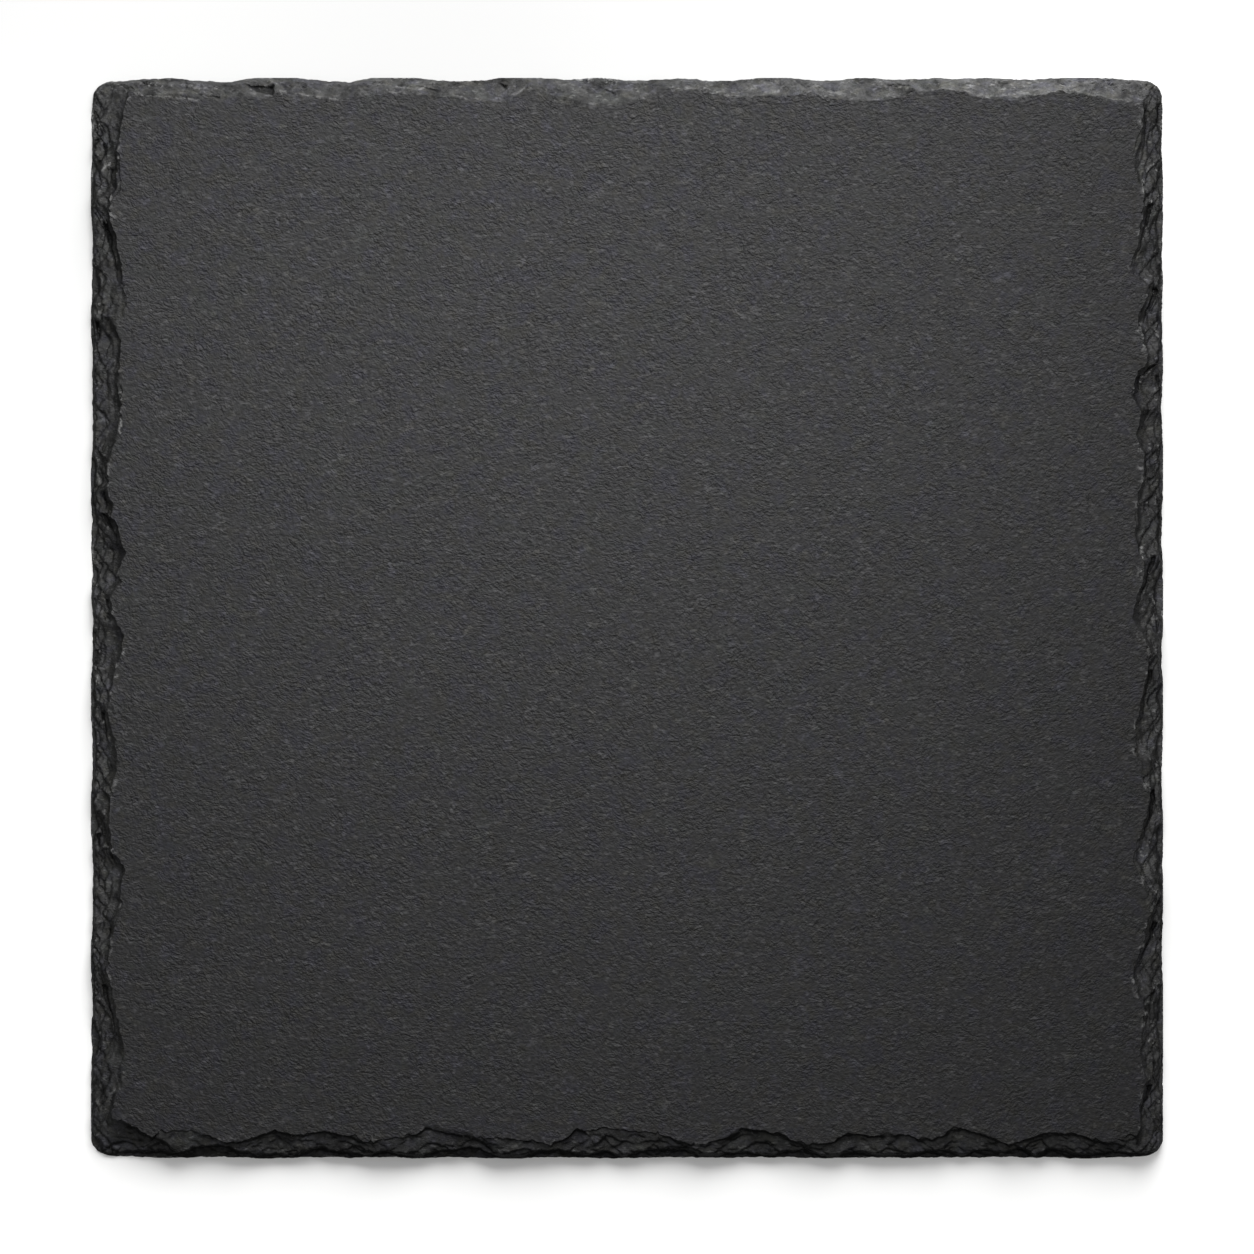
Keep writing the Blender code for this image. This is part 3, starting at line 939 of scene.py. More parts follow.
@dataclass
class DressedEdge:
    """The broken edge: what has been struck off a slab of this size.

    A wave is (share or height, length), with lengths in millimetres.

    Fields:
        half_width, half_depth, thickness: the slab.
        corner_radius: of the slab's upright corners.
        foot_radius: of the corners where the sides end, at the foot.
        foot_rise: the slope of the steep cut that the sides end in.
        foot_waves: how the foot strays from its outline, in millimetres.
        foot_least: least inset of the foot.
        face_relief, face_waves: how high the face swells, and the shares of that.
        warp: how far, in millimetres, places are pushed about.
        pit_painted_shadow: how much painted shadow darkens the pits, as a share.
        steep_from, steep_span: the upward part of the normal below which stone counts as steep,
            and the span over which it comes to do so.
        facet_shade, cloud, cloud_shade: how much the large facets, the small ones and clouds this
            long change the stone's painted shade, at random.
        shade_depth: depth below the face at which the broken stone has all of its painted
            paleness.
        shade_least: least share of painted shade.
        crush_width: half the width of the crushed lines, in millimetres.
        side_blend: how wide the blend is between two sides.
        facet, splinter: how wide the large and small facets are.
        facet_relief, splinter_relief: how high they stand, in millimetres.
        facet_depth: depth below the face at which they have all of their relief.
        grit: the waves of the finest roughness, in millimetres.
        layer, layer_spread, layer_patch: how thick the slate's layers are, how much that varies,
            as a share, and how wide the patches are that differ in it.
        riser: how much of a layer's step is taken up by its rise, as a share.
        stepped, stepped_spread, stepped_most, stepped_patch: how much of the broken edge is
            stepped, how much that varies, the most it may be and how wide the patches are.
        band: how far in from the side the edge's columns of quads run.
        samples: how finely a section is read before its quads are laid on it.
        noise_seed, facet_seed: pick the two fields of chance.
        lip_height: height of the foot's upright cut.
    """

    half_width: float
    half_depth: float
    thickness: float
    corner_radius: float = 3.8 * MM
    foot_radius: float = 4.8 * MM
    foot_rise: float = 3.2
    foot_waves: Run = ((0.12, 3.5), (0.12, 1.5), (0.07, 0.7))
    foot_least: float = 0.02 * MM
    face_relief: float = 0.09 * MM
    face_waves: Run = ((0.5, 38), (0.3, 14), (0.2, 5))
    warp: Run = ((0.45, 6), (0.28, 2.3), (0.18, 0.9))
    pit_painted_shadow: float = 0.6
    steep_from: float = 0.97
    steep_span: float = 0.2
    facet_shade: Range = (0.6, 0.4)
    cloud: float = 1.3 * MM
    cloud_shade: float = 0.8
    shade_depth: float = 0.8 * MM
    shade_least: float = 0.1
    crush_width: float = 0.45
    side_blend: float = 3 * MM
    facet: float = 4.2 * MM
    splinter: float = 1.7 * MM
    facet_relief: float = 1.3
    splinter_relief: float = 0.7
    facet_depth: float = 0.5 * MM
    grit: Range = (0.07, 0.9)
    band: float = 11 * MM
    samples: int = 280
    noise_seed: int = 3
    facet_seed: int = 5
    lip_height: float = 0.3 * MM
    layer: float = 0.42 * MM
    layer_spread: float = 0.35
    layer_patch: float = 17 * MM
    riser: float = 0.45
    stepped: float = 0.35
    stepped_spread: float = 0.6
    stepped_most: float = 0.9
    stepped_patch: float = 8 * MM

    def __post_init__(self) -> None:
        """Set up the noise and strike the blows."""
        self.chance, self.facets = ChanceField(self.noise_seed), FacetField(self.facet_seed)
        self.dressing = Dressing(self.half_width, self.half_depth, self.thickness)
        self.scars, self.chips = self.dressing.strike()

    def inner(self, x: Array, y: Array) -> tuple[Array, Array]:
        """Where the columns that start at these outline points end, band in from the side."""
        pull_x = np.sign(x) * abs(x / self.half_width) ** 3
        pull_y = np.sign(y) * abs(y / self.half_depth) ** 3
        return x - self.band * pull_x, y - self.band * pull_y

    def face(self, x: Array, y: Array) -> Array:
        """Height of the riven face, just under the slab's full thickness."""
        swell = np.zeros_like(x)
        shifts = ((0, 0), (1, 0), (0, 1))
        for (share, length), (shift_x, shift_y) in zip(self.face_waves, shifts):
            swell += share * self.chance.at(x + shift_x, y + shift_y, length * MM)
        return self.thickness - self.face_relief * (1 - np.clip(swell, -1, 1))

    def sections(self, x: Array, y: Array) -> tuple[Array, ...]:
        """Read the broken edge along the columns.

        Args:
            x, y: the outline's points.

        Returns:
            Places across the board, one row for each column, then the broken edge's height and
            the face's height there.
        """
        end_x, end_y = self.inner(x, y)
        t = np.linspace(0, 1, self.samples)
        px = x[:, None] + (end_x - x)[:, None] * t
        py = y[:, None] + (end_y - y)[:, None] * t
        wx, wy = self._warp(px, py)
        face = self.face(px, py)
        stone = np.full(px.shape, 2 * self.thickness)
        for blow in self.scars + self.chips:
            blow.cut(wx, wy, stone)
        stone = np.maximum(self._roughen(px, py, stone, face), self.lip_height)
        return px, py, np.minimum(stone, self._foot(px, py)), face

    def _warp(self, x: Array, y: Array) -> tuple[Array, Array]:
        """Push places about, so that what is struck there has ragged lines."""
        warped_x, warped_y = x.copy(), y.copy()
        for height, length in self.warp:
            warped_x += MM * height * self.chance.at(x, y, length * MM)
            warped_y += MM * height * self.chance.at(x + 2, y, length * MM)
        return warped_x, warped_y

    def _foot(self, x: Array, y: Array) -> Array:
        """Height of the steep cut that the sides end in."""
        over_x = np.maximum(abs(x) - (self.half_width - self.foot_radius), 0)
        over_y = np.maximum(abs(y) - (self.half_depth - self.foot_radius), 0)
        inset = self.foot_radius - np.hypot(over_x, over_y)
        upright, level = self._pairs(x, y, self._outline)
        share = over_x**2 / (over_x**2 + over_y**2 + NOTHING)
        waver = share * upright + (1 - share) * level
        for height, length in self.foot_waves:
            waver += MM * height * self.chance.at(x + 4, y, length * MM)
        return self.foot_rise * (inset - np.maximum(waver, self.foot_least)) + self.lip_height

    @staticmethod
    def _read(knots: Run, along: Array) -> Array:
        """What a run of knots says at these places along a side."""
        return np.interp(along / MM, [knot[0] for knot in knots], [knot[1] for knot in knots])

    def _outline(self, side: Side, along: Array) -> Array:
        """How far in a side's foot lies at these places along it."""
        return MM * self._read(side.outline, along)

    @staticmethod
    def _pairs(x: Array, y: Array, read: Reading) -> tuple[Array, Array]:
        """What the nearer of left and right says for each place, and of front and back."""
        upright = np.where(x < 0, read(SideOf.LEFT.value, y), read(SideOf.RIGHT.value, y))
        level = np.where(y < 0, read(SideOf.FRONT.value, x), read(SideOf.BACK.value, x))
        return upright, level

    def by_side(self, x: Array, y: Array, read: Reading) -> Array:
        """Blend over the board what its sides say.

        Args:
            x, y: places on the board.
            read: what a side says, given it and how far along it the places are.

        Returns:
            What the nearest side says for each place, blended where two are as near.
        """
        nearer = (self.half_depth - abs(y)) - (self.half_width - abs(x))
        share = np.clip(0.5 + nearer / self.side_blend, 0, 1)
        upright, level = self._pairs(x, y, read)
        return share * upright + (1 - share) * level

    def crushed(self, x: Array, y: Array) -> Array:
        """How far the stone is crushed to a pale line at these places."""
        found = np.zeros(len(x))
        x, y = self._warp(x, y)
        for side in (named.value for named in SideOf):
            point, inward = self.dressing.point(side), side.inward
            along = x * side.along[0] + y * side.along[1]
            inset = (x - point[0]) * inward[0] + (y - point[1]) * inward[1]
            inset -= side.rim_break.set_in
            for run in side.crushed:
                off = abs(inset / MM - self._read(run, along)) / self.crush_width
                inside = (along / MM > run[0][0]) & (along / MM < run[-1][0])
                found = np.maximum(found, side.crush * inside * np.clip(1 - off, 0, 1))
        return found

    def shade(self, x: Array, y: Array, z: Array, upward: Array) -> Array:
        """How pale the broken stone is.

        Args:
            x, y: places on the board.
            z: heights there.
            upward: the upward part of the normal there.

        Returns:
            One share for each place: the stone's own paleness times painted light and shade.
        """
        # painted shade on steep parts, and painted shade that differs at random from facet to facet
        steep = ease(np.clip((self.steep_from - upward) / self.steep_span, 0, 1))
        coarse = self.facets.at(x, y, self.facet)[1]
        fine = self.facets.at(x + 0.3, y, self.splinter)[1]
        facets = self.facet_shade[0] * coarse + self.facet_shade[1] * fine
        facets += self.cloud_shade * self.chance.at(x / 2, y / 2, self.cloud)
        # the stone's own paleness with painted light, most along the back edge that faces the lamp
        share = self.by_side(x, y, lambda side, along: self._read(side.shade, along))
        share *= 1 + self.by_side(x, y, lambda side, along: side.steep_painted_shade) * steep
        share *= 1 + self.by_side(x, y, lambda side, along: side.patchy) * facets
        warped_x, warped_y = self._warp(x, y)
        # painted shadow inside the pits
        for pit in (chip for chip in self.chips if isinstance(chip, Pit)):
            near, _, hollow = pit.hollow(warped_x, warped_y)
            share[near] *= 1 - self.pit_painted_shadow * np.clip(3 * hollow, 0, 1)
        deep = np.clip((self.face(x, y) - z) / self.shade_depth, 0, 1)
        return np.maximum(1 + (share - 1) * np.where(share > 1, deep, 1), self.shade_least)

    def _roughen(self, x: Array, y: Array, stone: Array, face: Array) -> Array:
        """Break the scars' floors into facets and into the steps between the slate's layers.

        Args:
            x, y: places on the board.
            stone: height of the broken edge there, still smooth.
            face: height of the face there.

        Returns:
            The broken edge's height.
        """
        depth = np.maximum(face - stone, 0)
        broken = np.clip(depth / self.facet_depth, 0, 1)
        rugged = self.by_side(x, y, lambda side, along: side.rugged)
        coarse = self.facets.at(x, y, self.facet)[0]
        fine = self.facets.at(x + 0.3, y, self.splinter)[0]
        relief = self.facet_relief * coarse + self.splinter_relief * fine
        depth = np.maximum(depth - MM * broken * rugged * relief, 0)
        spread = self.layer_spread * self.chance.at(x + 3, y, self.layer_patch)
        layer = self.layer * (1 + spread)
        steps = depth / layer
        whole = np.floor(steps)
        stepped = (whole + ease(np.clip((steps - whole) / self.riser, 0, 1))) * layer
        share = self.stepped_spread * self.chance.at(x, y + 3, self.stepped_patch)
        share = np.clip(self.stepped + share, 0, self.stepped_most)
        rough = self.grit[0] * self.chance.at(x, y, self.grit[1] * MM)
        return face - depth - share * (stepped - depth) + MM * rough * broken


@dataclass
class SlateBoard:
    """The board: a fine skin laid over the dressed edge, the riven face and the underside.

    Fields:
        edge: the slab and its broken edge.
        corner_steps: how many parts each rounded corner is drawn in.
        side_cuts, side_part: how many cuts divide a side, and then each part of it that is
            still longer than this.
        broken_rows, face_rows: rows of quads on the broken slope and on the face inside it.
        face_spacing: how much the face's rows crowd at the rim, as a power.
        face_inset, face_steps: how far in the face's grid begins, and its squares each way.
        under_inset, under_steps: likewise for the underside.
        under_relief, under_grain: how high the underside swells, and over what length.
        wear_lift: how far a point that stands out most stands out.
        wear_width, wear_fade: how many rings of points that spreads over, and what share of it
            each ring takes on.
        crease: angle, in degrees, above which the skin is shaded as a sharp edge.
    """

    edge: DressedEdge
    corner_steps: int = 16
    side_cuts: int = 23
    side_part: float = 4 * MM
    broken_rows: int = 31
    face_rows: int = 4
    face_spacing: float = 1.7
    face_inset: float = 13 * MM
    face_steps: int = 84
    under_inset: float = 4 * MM
    under_steps: int = 48
    under_relief: float = 0.12 * MM
    under_grain: float = 16 * MM
    wear_lift: float = 0.1 * MM
    wear_width: int = 1
    wear_fade: float = 0.7
    crease: float = 42.0

    def build(self) -> bpy.types.Object:
        """Model the board and dress it.

        Returns:
            The finished piece.
        """
        piece = self._outline()
        self._raise_wall()
        self._dress(piece)
        self._close(self.edge.thickness, self.face_inset, self.face_steps)
        self._close(0, self.under_inset, self.under_steps)
        self._rive(piece)
        self._mark_wear_and_painted_shade(piece)
        self._finish(piece)
        return piece

    @property
    def _rows(self) -> int:
        """How many rows of quads the wall has."""
        return self.broken_rows + self.face_rows

    def _outline(self) -> bpy.types.Object:
        """Draw the slab's outline: a plane with rounded corners and finely divided sides."""
        bpy.ops.object.select_all(action="DESELECT")
        bpy.ops.mesh.primitive_plane_add(size=1, location=(0, 0, 0))
        piece = bpy.context.object
        piece.name = piece.data.name = "split_slate_board"
        bpy.ops.object.mode_set(mode="EDIT")
        bpy.ops.mesh.select_all(action="SELECT")
        size = (2 * self.edge.half_width, 2 * self.edge.half_depth, 1)
        bpy.ops.transform.resize(value=size, center_override=(0, 0, 0))
        bpy.ops.mesh.bevel(
            offset=self.edge.corner_radius,
            segments=self.corner_steps,
            profile=0.5,
            affect="VERTICES",
        )
        for longest in (2 * self.edge.corner_radius, self.side_part):
            self._select_edges(piece, lambda e: e.calc_length() > longest)
            bpy.ops.mesh.subdivide(number_cuts=self.side_cuts)
        return piece

    @staticmethod
    def _select_edges(
        piece: bpy.types.Object, wanted: Callable[[bmesh.types.BMEdge], bool]
    ) -> None:
        """Select the edges, in edit mode, that wanted says yes to."""
        bpy.ops.mesh.select_mode(type="EDGE")
        bpy.ops.mesh.select_all(action="DESELECT")
        mesh = bmesh.from_edit_mesh(piece.data)
        for edge in mesh.edges:
            edge.select_set(wanted(edge))
        bmesh.update_edit_mesh(piece.data)

    def _raise_wall(self) -> None:
        """Raise the outline into rows of quads, open below and above."""
        bpy.ops.mesh.select_all(action="SELECT")
        bpy.ops.mesh.delete(type="ONLY_FACE")
        bpy.ops.mesh.select_all(action="SELECT")
        for _ in range(self._rows):
            bpy.ops.mesh.extrude_edges_move(
                TRANSFORM_OT_translate={"value": (0, 0, self.edge.thickness / self._rows)}
            )
        bpy.ops.object.mode_set(mode="OBJECT")

    def _dress(self, piece: bpy.types.Object) -> None:
        """Lay each column of the wall on its section through the broken edge."""
        mesh = piece.data
        spots = read_mesh(mesh.vertices, "co", 3)
        row = np.rint(spots[:, 2] * self._rows / self.edge.thickness).astype(int)
        order = np.lexsort((np.arctan2(spots[:, 1], spots[:, 0]), row)).reshape(self._rows + 1, -1)
        x, y, stone, face = self.edge.sections(*spots[order[0], :2].T)
        for column in range(order.shape[1]):
            spots[order[:, column]] = self._section(
                x[column], y[column], stone[column], face[column]
            )
        mesh.vertices.foreach_set("co", spots.ravel())
        level = mesh.attributes.new("row", "INT", "POINT")
        level.data.foreach_set("value", row)
        bpy.ops.object.mode_set(mode="EDIT")

    def _section(self, x: Array, y: Array, stone: Array, face: Array) -> Array:
        """Space one column's points evenly down the broken slope and out over the face.

        Args:
            x: places across the section, from the side inwards.
            y: places across the section.
            stone: height of the broken edge there.
            face: height of the face there.

        Returns:
            The column's points, from the table up to the rim and in.
        """
        under = np.nonzero(stone < face)[0]
        rim = min(int(under[-1]) + 1, len(x) - 3)
        clear = np.nonzero(stone[: rim - 1] <= 0)[0]
        foot = int(clear[-1]) if len(clear) else 0
        height = np.where(np.arange(len(x)) < rim, np.minimum(stone, face), face)
        height[foot] = 0
        dx, dy, dz = (np.diff(values[foot : rim + 1]) for values in (x, y, height))
        length = np.concatenate(([0], np.cumsum(np.sqrt(dx**2 + dy**2 + dz**2))))
        even = np.linspace(0, length[-1], self.broken_rows + 1)
        up = np.interp(even, length, np.arange(foot, rim + 1))
        rows = np.linspace(0, 1, self.face_rows + 1)[1:]
        inwards = rim + (len(x) - 1 - rim) * rows**self.face_spacing
        at = np.concatenate((up, inwards))
        every = np.arange(len(x))
        return np.stack([np.interp(at, every, values) for values in (x, y, height)], axis=1)

    def _close(self, height: float, inset: float, steps: int) -> None:
        """Close one end of the wall with a grid and a strip of faces round it.

        Args:
            height: of the end.
            inset: how far in from the sides the grid begins.
            steps: how many squares the grid has each way.
        """
        piece = bpy.context.object
        bpy.ops.mesh.select_all(action="DESELECT")
        bpy.ops.mesh.primitive_grid_add(
            x_subdivisions=steps, y_subdivisions=steps, size=1, location=(0, 0, height)
        )
        size = (2 * (self.edge.half_width - inset), 2 * (self.edge.half_depth - inset), 1)
        bpy.ops.transform.resize(value=size, center_override=(0, 0, height))
        middle = self.edge.thickness / 2
        self._select_edges(
            piece,
            lambda e: e.is_boundary and (e.verts[0].co.z > middle) == (height > middle),
        )
        bpy.ops.mesh.bridge_edge_loops()

    def _rive(self, piece: bpy.types.Object) -> None:
        """Give the grids the swell of split stone, and turn every face outwards."""
        bpy.ops.mesh.select_all(action="SELECT")
        bpy.ops.mesh.normals_make_consistent(inside=False)
        bpy.ops.object.mode_set(mode="OBJECT")
        mesh = piece.data
        spots = read_mesh(mesh.vertices, "co", 3)
        x, y, z = spots.T
        upper = z > self.edge.thickness - LEVEL
        spots[upper, 2] = self.edge.face(x[upper], y[upper])
        inset = np.minimum(self.edge.half_width - abs(x), self.edge.half_depth - abs(y))
        lower = (z < LEVEL) & (inset > self.under_inset + LEVEL)
        relief = 1 + self.edge.chance.at(x[lower] + 7, y[lower], self.under_grain)
        spots[lower, 2] = np.clip(self.under_relief * relief, 0, None)
        mesh.vertices.foreach_set("co", spots.ravel())
        mesh.update()

    def _mark_wear_and_painted_shade(self, piece: bpy.types.Object) -> None:
        """Store how far points stand out, how light or dark they are painted, and how crushed."""
        mesh = piece.data
        count = len(mesh.vertices)
        spots = read_mesh(mesh.vertices, "co", 3)
        out = read_mesh(mesh.vertex_normals, "vector", 3)
        one, other = read_mesh(mesh.edges, "vertices", 2, int).T
        total, links = np.zeros((count, 3)), np.zeros(count)
        for a, b in ((one, other), (other, one)):
            np.add.at(total, a, spots[b])
            np.add.at(links, a, 1)
        lift = np.einsum("ij,ij->i", spots - total / links[:, None], out) / self.wear_lift
        for _ in range(self.wear_width):
            around = np.zeros(count)
            for a, b in ((one, other), (other, one)):
                np.maximum.at(around, a, lift[b])
            lift = np.maximum(lift, self.wear_fade * around)
        x, y = spots[:, 0].copy(), spots[:, 1].copy()
        lift *= self.edge.by_side(x, y, lambda side, along: side.bruised)
        # painted light and shade of the broken stone, stored as its shade
        shade = self.edge.shade(x, y, spots[:, 2].copy(), out[:, 2])
        crushed = self.edge.crushed(x, y)
        for name, values in (("crest", lift), ("shade", shade), ("crushed", crushed)):
            stored = mesh.attributes.new(name, "FLOAT", "POINT")
            stored.data.foreach_set("value", values)

    def _finish(self, piece: bpy.types.Object) -> None:
        """Shade the skin and give the split faces and the broken edge their finishes."""
        mesh = piece.data
        bpy.ops.object.shade_smooth_by_angle(angle=math.radians(self.crease))
        for finish in (SplitSlate(), BrokenSlate()):
            mesh.materials.append(finish.material())
        rows = read_mesh(mesh.attributes["row"].data, "value", kind=int)
        starts = read_mesh(mesh.polygons, "loop_start", kind=int)
        corners = read_mesh(mesh.loops, "vertex_index", kind=int)
        highest = np.maximum.reduceat(rows[corners], starts)
        broken = (highest > 0) & (highest <= self.broken_rows)
        mesh.polygons.foreach_set("material_index", broken.astype(int))
        mesh.update()


class Graph:
    """A node tree that is being filled in, so that a recipe reads as its steps."""

    def __init__(self, tree: bpy.types.NodeTree) -> None:
        """Take the tree to fill."""
        self.tree = tree

    def node(
        self, kind: str, inputs: dict[str | int, Feed] | None = None, **settings: object
    ) -> bpy.types.Node:
        """Add a node.

        Args:
            kind: its type.
            inputs: socket name or number to a value or to the socket that feeds it.
            settings: the node's own settings.

        Returns:
            The node.
        """
        made = self.tree.nodes.new(kind)
        for name, value in settings.items():
            setattr(made, name, value)
        for name, value in (inputs or {}).items():
            self.feed(made.inputs[name], value)
        return made

    def feed(self, socket: Socket, value: Feed) -> None:
        """Link a socket to what feeds it, or set its value."""
        if isinstance(value, Socket):
            self.tree.links.new(value, socket)
        else:
            socket.default_value = value

    def math(self, operation: str, a: Feed, b: Feed = 0.0, clamp: bool = False) -> Socket:
        """One sum."""
        settings = {"operation": operation, "use_clamp": clamp}
        return self.node("ShaderNodeMath", {0: a, 1: b}, **settings).outputs[0]

    def times(self, a: Feed, b: Feed) -> Socket:
        """One product."""
        return self.math("MULTIPLY", a, b)

    def plus(self, a: Feed, b: Feed) -> Socket:
        """One addition."""
        return self.math("ADD", a, b)

    def noise(
        self, vector: Socket, scale: Feed, detail: float = 2.0, roughness: float = 0.5
    ) -> Socket:
        """Noise about 0.5."""
        inputs = {"Vector": vector, "Scale": scale, "Detail": detail, "Roughness": roughness}
        return self.node("ShaderNodeTexNoise", inputs).outputs["Fac"]

    def swing(
        self, vector: Socket, scale: Feed, detail: float = 2.0, roughness: float = 0.5
    ) -> Socket:
        """Noise about 0."""
        return self.math("SUBTRACT", self.noise(vector, scale, detail, roughness), 0.5)

    def split(self, vector: Socket) -> tuple[Socket, ...]:
        """The three parts of a vector."""
        return tuple(self.node("ShaderNodeSeparateXYZ", {0: vector}).outputs)

    def join(self, x: Feed, y: Feed, z: Feed) -> Socket:
        """A vector from its three parts."""
        return self.node("ShaderNodeCombineXYZ", {0: x, 1: y, 2: z}).outputs[0]

    def vector(self, operation: str, a: Feed, b: Feed) -> Socket:
        """One sum of vectors."""
        return self.node("ShaderNodeVectorMath", {0: a, 1: b}, operation=operation).outputs[0]

    def stir(self, place: Socket, scale: float, amount: float) -> Socket:
        """Places pushed about by noise, so that a pattern on them wavers."""
        noise = self.node("ShaderNodeTexNoise", {"Vector": place, "Scale": scale, "Detail": 1.0})
        push = self.vector("SUBTRACT", noise.outputs["Color"], (0.5, 0.5, 0.5))
        return self.vector("ADD", place, self.vector("MULTIPLY", push, (amount,) * 3))

    def attribute(self, name: str, output: str = "Fac") -> Socket:
        """What the mesh says at each place."""
        return self.node("ShaderNodeAttribute", attribute_name=name).outputs[output]

    def span(
        self, value: Socket, low: float, high: float, to_low: float = 0.0, to_high: float = 1.0
    ) -> Socket:
        """Value mapped smoothly from low..high to to_low..to_high, and held there beyond."""
        inputs = {"Value": value, 1: low, 2: high, 3: to_low, 4: to_high}
        made = self.node("ShaderNodeMapRange", inputs, interpolation_type="SMOOTHSTEP")
        return made.outputs["Result"]

    def blend(self, share: Feed, a: Feed, b: Feed, how: str = "MIX") -> Socket:
        """Colour a blended with b by share."""
        made = self.node("ShaderNodeMix", data_type="RGBA", blend_type=how)
        for number, value in ((0, share), (6, a), (7, b)):
            self.feed(made.inputs[number], value)
        return made.outputs[2]


def effect(name: str, inputs: dict[str, str], outputs: dict[str, str]) -> tuple[Graph, dict, dict]:
    """Start a node group that materials share.

    Args:
        name: the group's name.
        inputs: name to socket type.
        outputs: name to socket type.

    Returns:
        The group's graph, its input sockets and the sockets that its results go to.
    """
    tree = bpy.data.node_groups.new(name, "ShaderNodeTree")
    for direction, sockets in (("INPUT", inputs), ("OUTPUT", outputs)):
        for label, kind in sockets.items():
            tree.interface.new_socket(label, in_out=direction, socket_type=kind)
    source, sink = tree.nodes.new("NodeGroupInput"), tree.nodes.new("NodeGroupOutput")
    return (
        Graph(tree),
        {label: source.outputs[label] for label in inputs},
        {label: sink.inputs[label] for label in outputs},
    )


def grain_effect() -> bpy.types.NodeTree:
    """The fine streaked relief of split slate, whose streaks waver in direction over the face."""
    graph, take, give = effect(
        "riven_grain",
        {"Place": "NodeSocketVector", "Pitch": "NodeSocketFloat", "Stretch": "NodeSocketFloat"},
        {"Height": "NodeSocketFloat"},
    )
    slope, bend, wander = 0.06, -0.85, 0.012
    x, y, z = graph.split(graph.stir(take["Place"], scale=420, amount=1.3 * MM))
    sweep = graph.times(graph.plus(graph.times(x, bend), slope), x)
    waver = graph.times(graph.swing(take["Place"], scale=16), wander)
    across = graph.plus(graph.plus(y, sweep), waver)
    along = graph.math("DIVIDE", x, take["Stretch"])
    frequency = graph.math("DIVIDE", 1.0, take["Pitch"])
    streaks = graph.swing(graph.join(along, across, z), frequency, detail=1.6, roughness=0.75)
    calm = graph.noise(take["Place"], scale=260, detail=3, roughness=0.6)
    calm = graph.span(calm, 0.3, 0.7, to_low=0.4, to_high=1.45)
    graph.feed(give["Height"], graph.times(streaks, calm))
    return graph.tree


def flake_effect() -> bpy.types.NodeTree:
    """Broken stone's small tilted facets, with sharp edges where they meet."""
    graph, take, give = effect(
        "flaked_stone",
        {"Place": "NodeSocketVector", "Size": "NodeSocketFloat"},
        {"Height": "NodeSocketFloat"},
    )
    stirred = graph.stir(take["Place"], scale=700, amount=0.7 * MM)
    frequency = graph.math("DIVIDE", 1.0, take["Size"])
    cells = graph.node("ShaderNodeTexVoronoi", {"Vector": stirred, "Scale": frequency})
    away = graph.vector("SUBTRACT", stirred, cells.outputs["Position"])
    lean = graph.vector("SUBTRACT", cells.outputs["Color"], (0.5, 0.5, 0.5))
    slope = graph.node("ShaderNodeVectorMath", {0: away, 1: lean}, operation="DOT_PRODUCT")
    height = graph.math("DIVIDE", slope.outputs["Value"], take["Size"])
    graph.feed(give["Height"], height)
    return graph.tree


def bedding_effect() -> bpy.types.NodeTree:
    """The edges of the thin layers that slate is made of, one above the other."""
    graph, take, give = effect(
        "bedding",
        {"Place": "NodeSocketVector", "Layer": "NodeSocketFloat"},
        {"Height": "NodeSocketFloat"},
    )
    flatness = 0.06
    x, y, z = graph.split(graph.stir(take["Place"], scale=160, amount=1.0 * MM))
    flat = graph.join(graph.times(x, flatness), graph.times(y, flatness), z)
    frequency = graph.math("DIVIDE", 1.0, take["Layer"])
    graph.feed(give["Height"], graph.swing(flat, frequency, detail=1.0))
    return graph.tree


def mottle_effect() -> bpy.types.NodeTree:
    """Faint blue, green and brown patches in grey stone, lighter and darker flecks, painted glints.
    """
    graph, take, give = effect(
        "stone_mottle",
        {
            "Place": "NodeSocketVector",
            "Ground": "NodeSocketColor",
            "Amount": "NodeSocketFloat",
            "Flecks": "NodeSocketFloat",
        },
        {"Colour": "NodeSocketColor"},
    )
    clouds, glints = 0.3, 0.7
    fleck = graph.swing(take["Place"], scale=1150, detail=1.5, roughness=0.6)
    cloud = graph.swing(take["Place"], scale=350)
    drawn_out = graph.vector("MULTIPLY", take["Place"], (0.55, 1, 1))
    # painted glints: sparse short bright streaks that stand in for highlights on the grain
    glint = graph.span(graph.noise(drawn_out, scale=1100, detail=1), 0.6, 0.72)
    fleck = graph.plus(fleck, graph.times(cloud, clouds))
    fleck = graph.plus(fleck, graph.times(glint, glints))
    tone = graph.plus(1.0, graph.times(fleck, take["Flecks"]))
    colour = graph.vector("MULTIPLY", take["Ground"], graph.join(tone, tone, tone))
    tints = (
        (260, (0.94, 0.94, 1.2, 1)),
        (310, (1.04, 1.01, 0.86, 1)),
        (220, (0.97, 1.02, 0.97, 1)),
    )
    for number, (scale, tint) in enumerate(tints):
        shifted = graph.vector("ADD", take["Place"], (number * 0.7, 0.3, 0))
        patch = graph.span(graph.noise(shifted, scale, detail=3, roughness=0.6), 0.48, 0.68)
        share = graph.times(patch, take["Amount"])
        colour = graph.blend(share, colour, graph.blend(1.0, colour, tint, "MULTIPLY"))
    graph.feed(give["Colour"], colour)
    return graph.tree


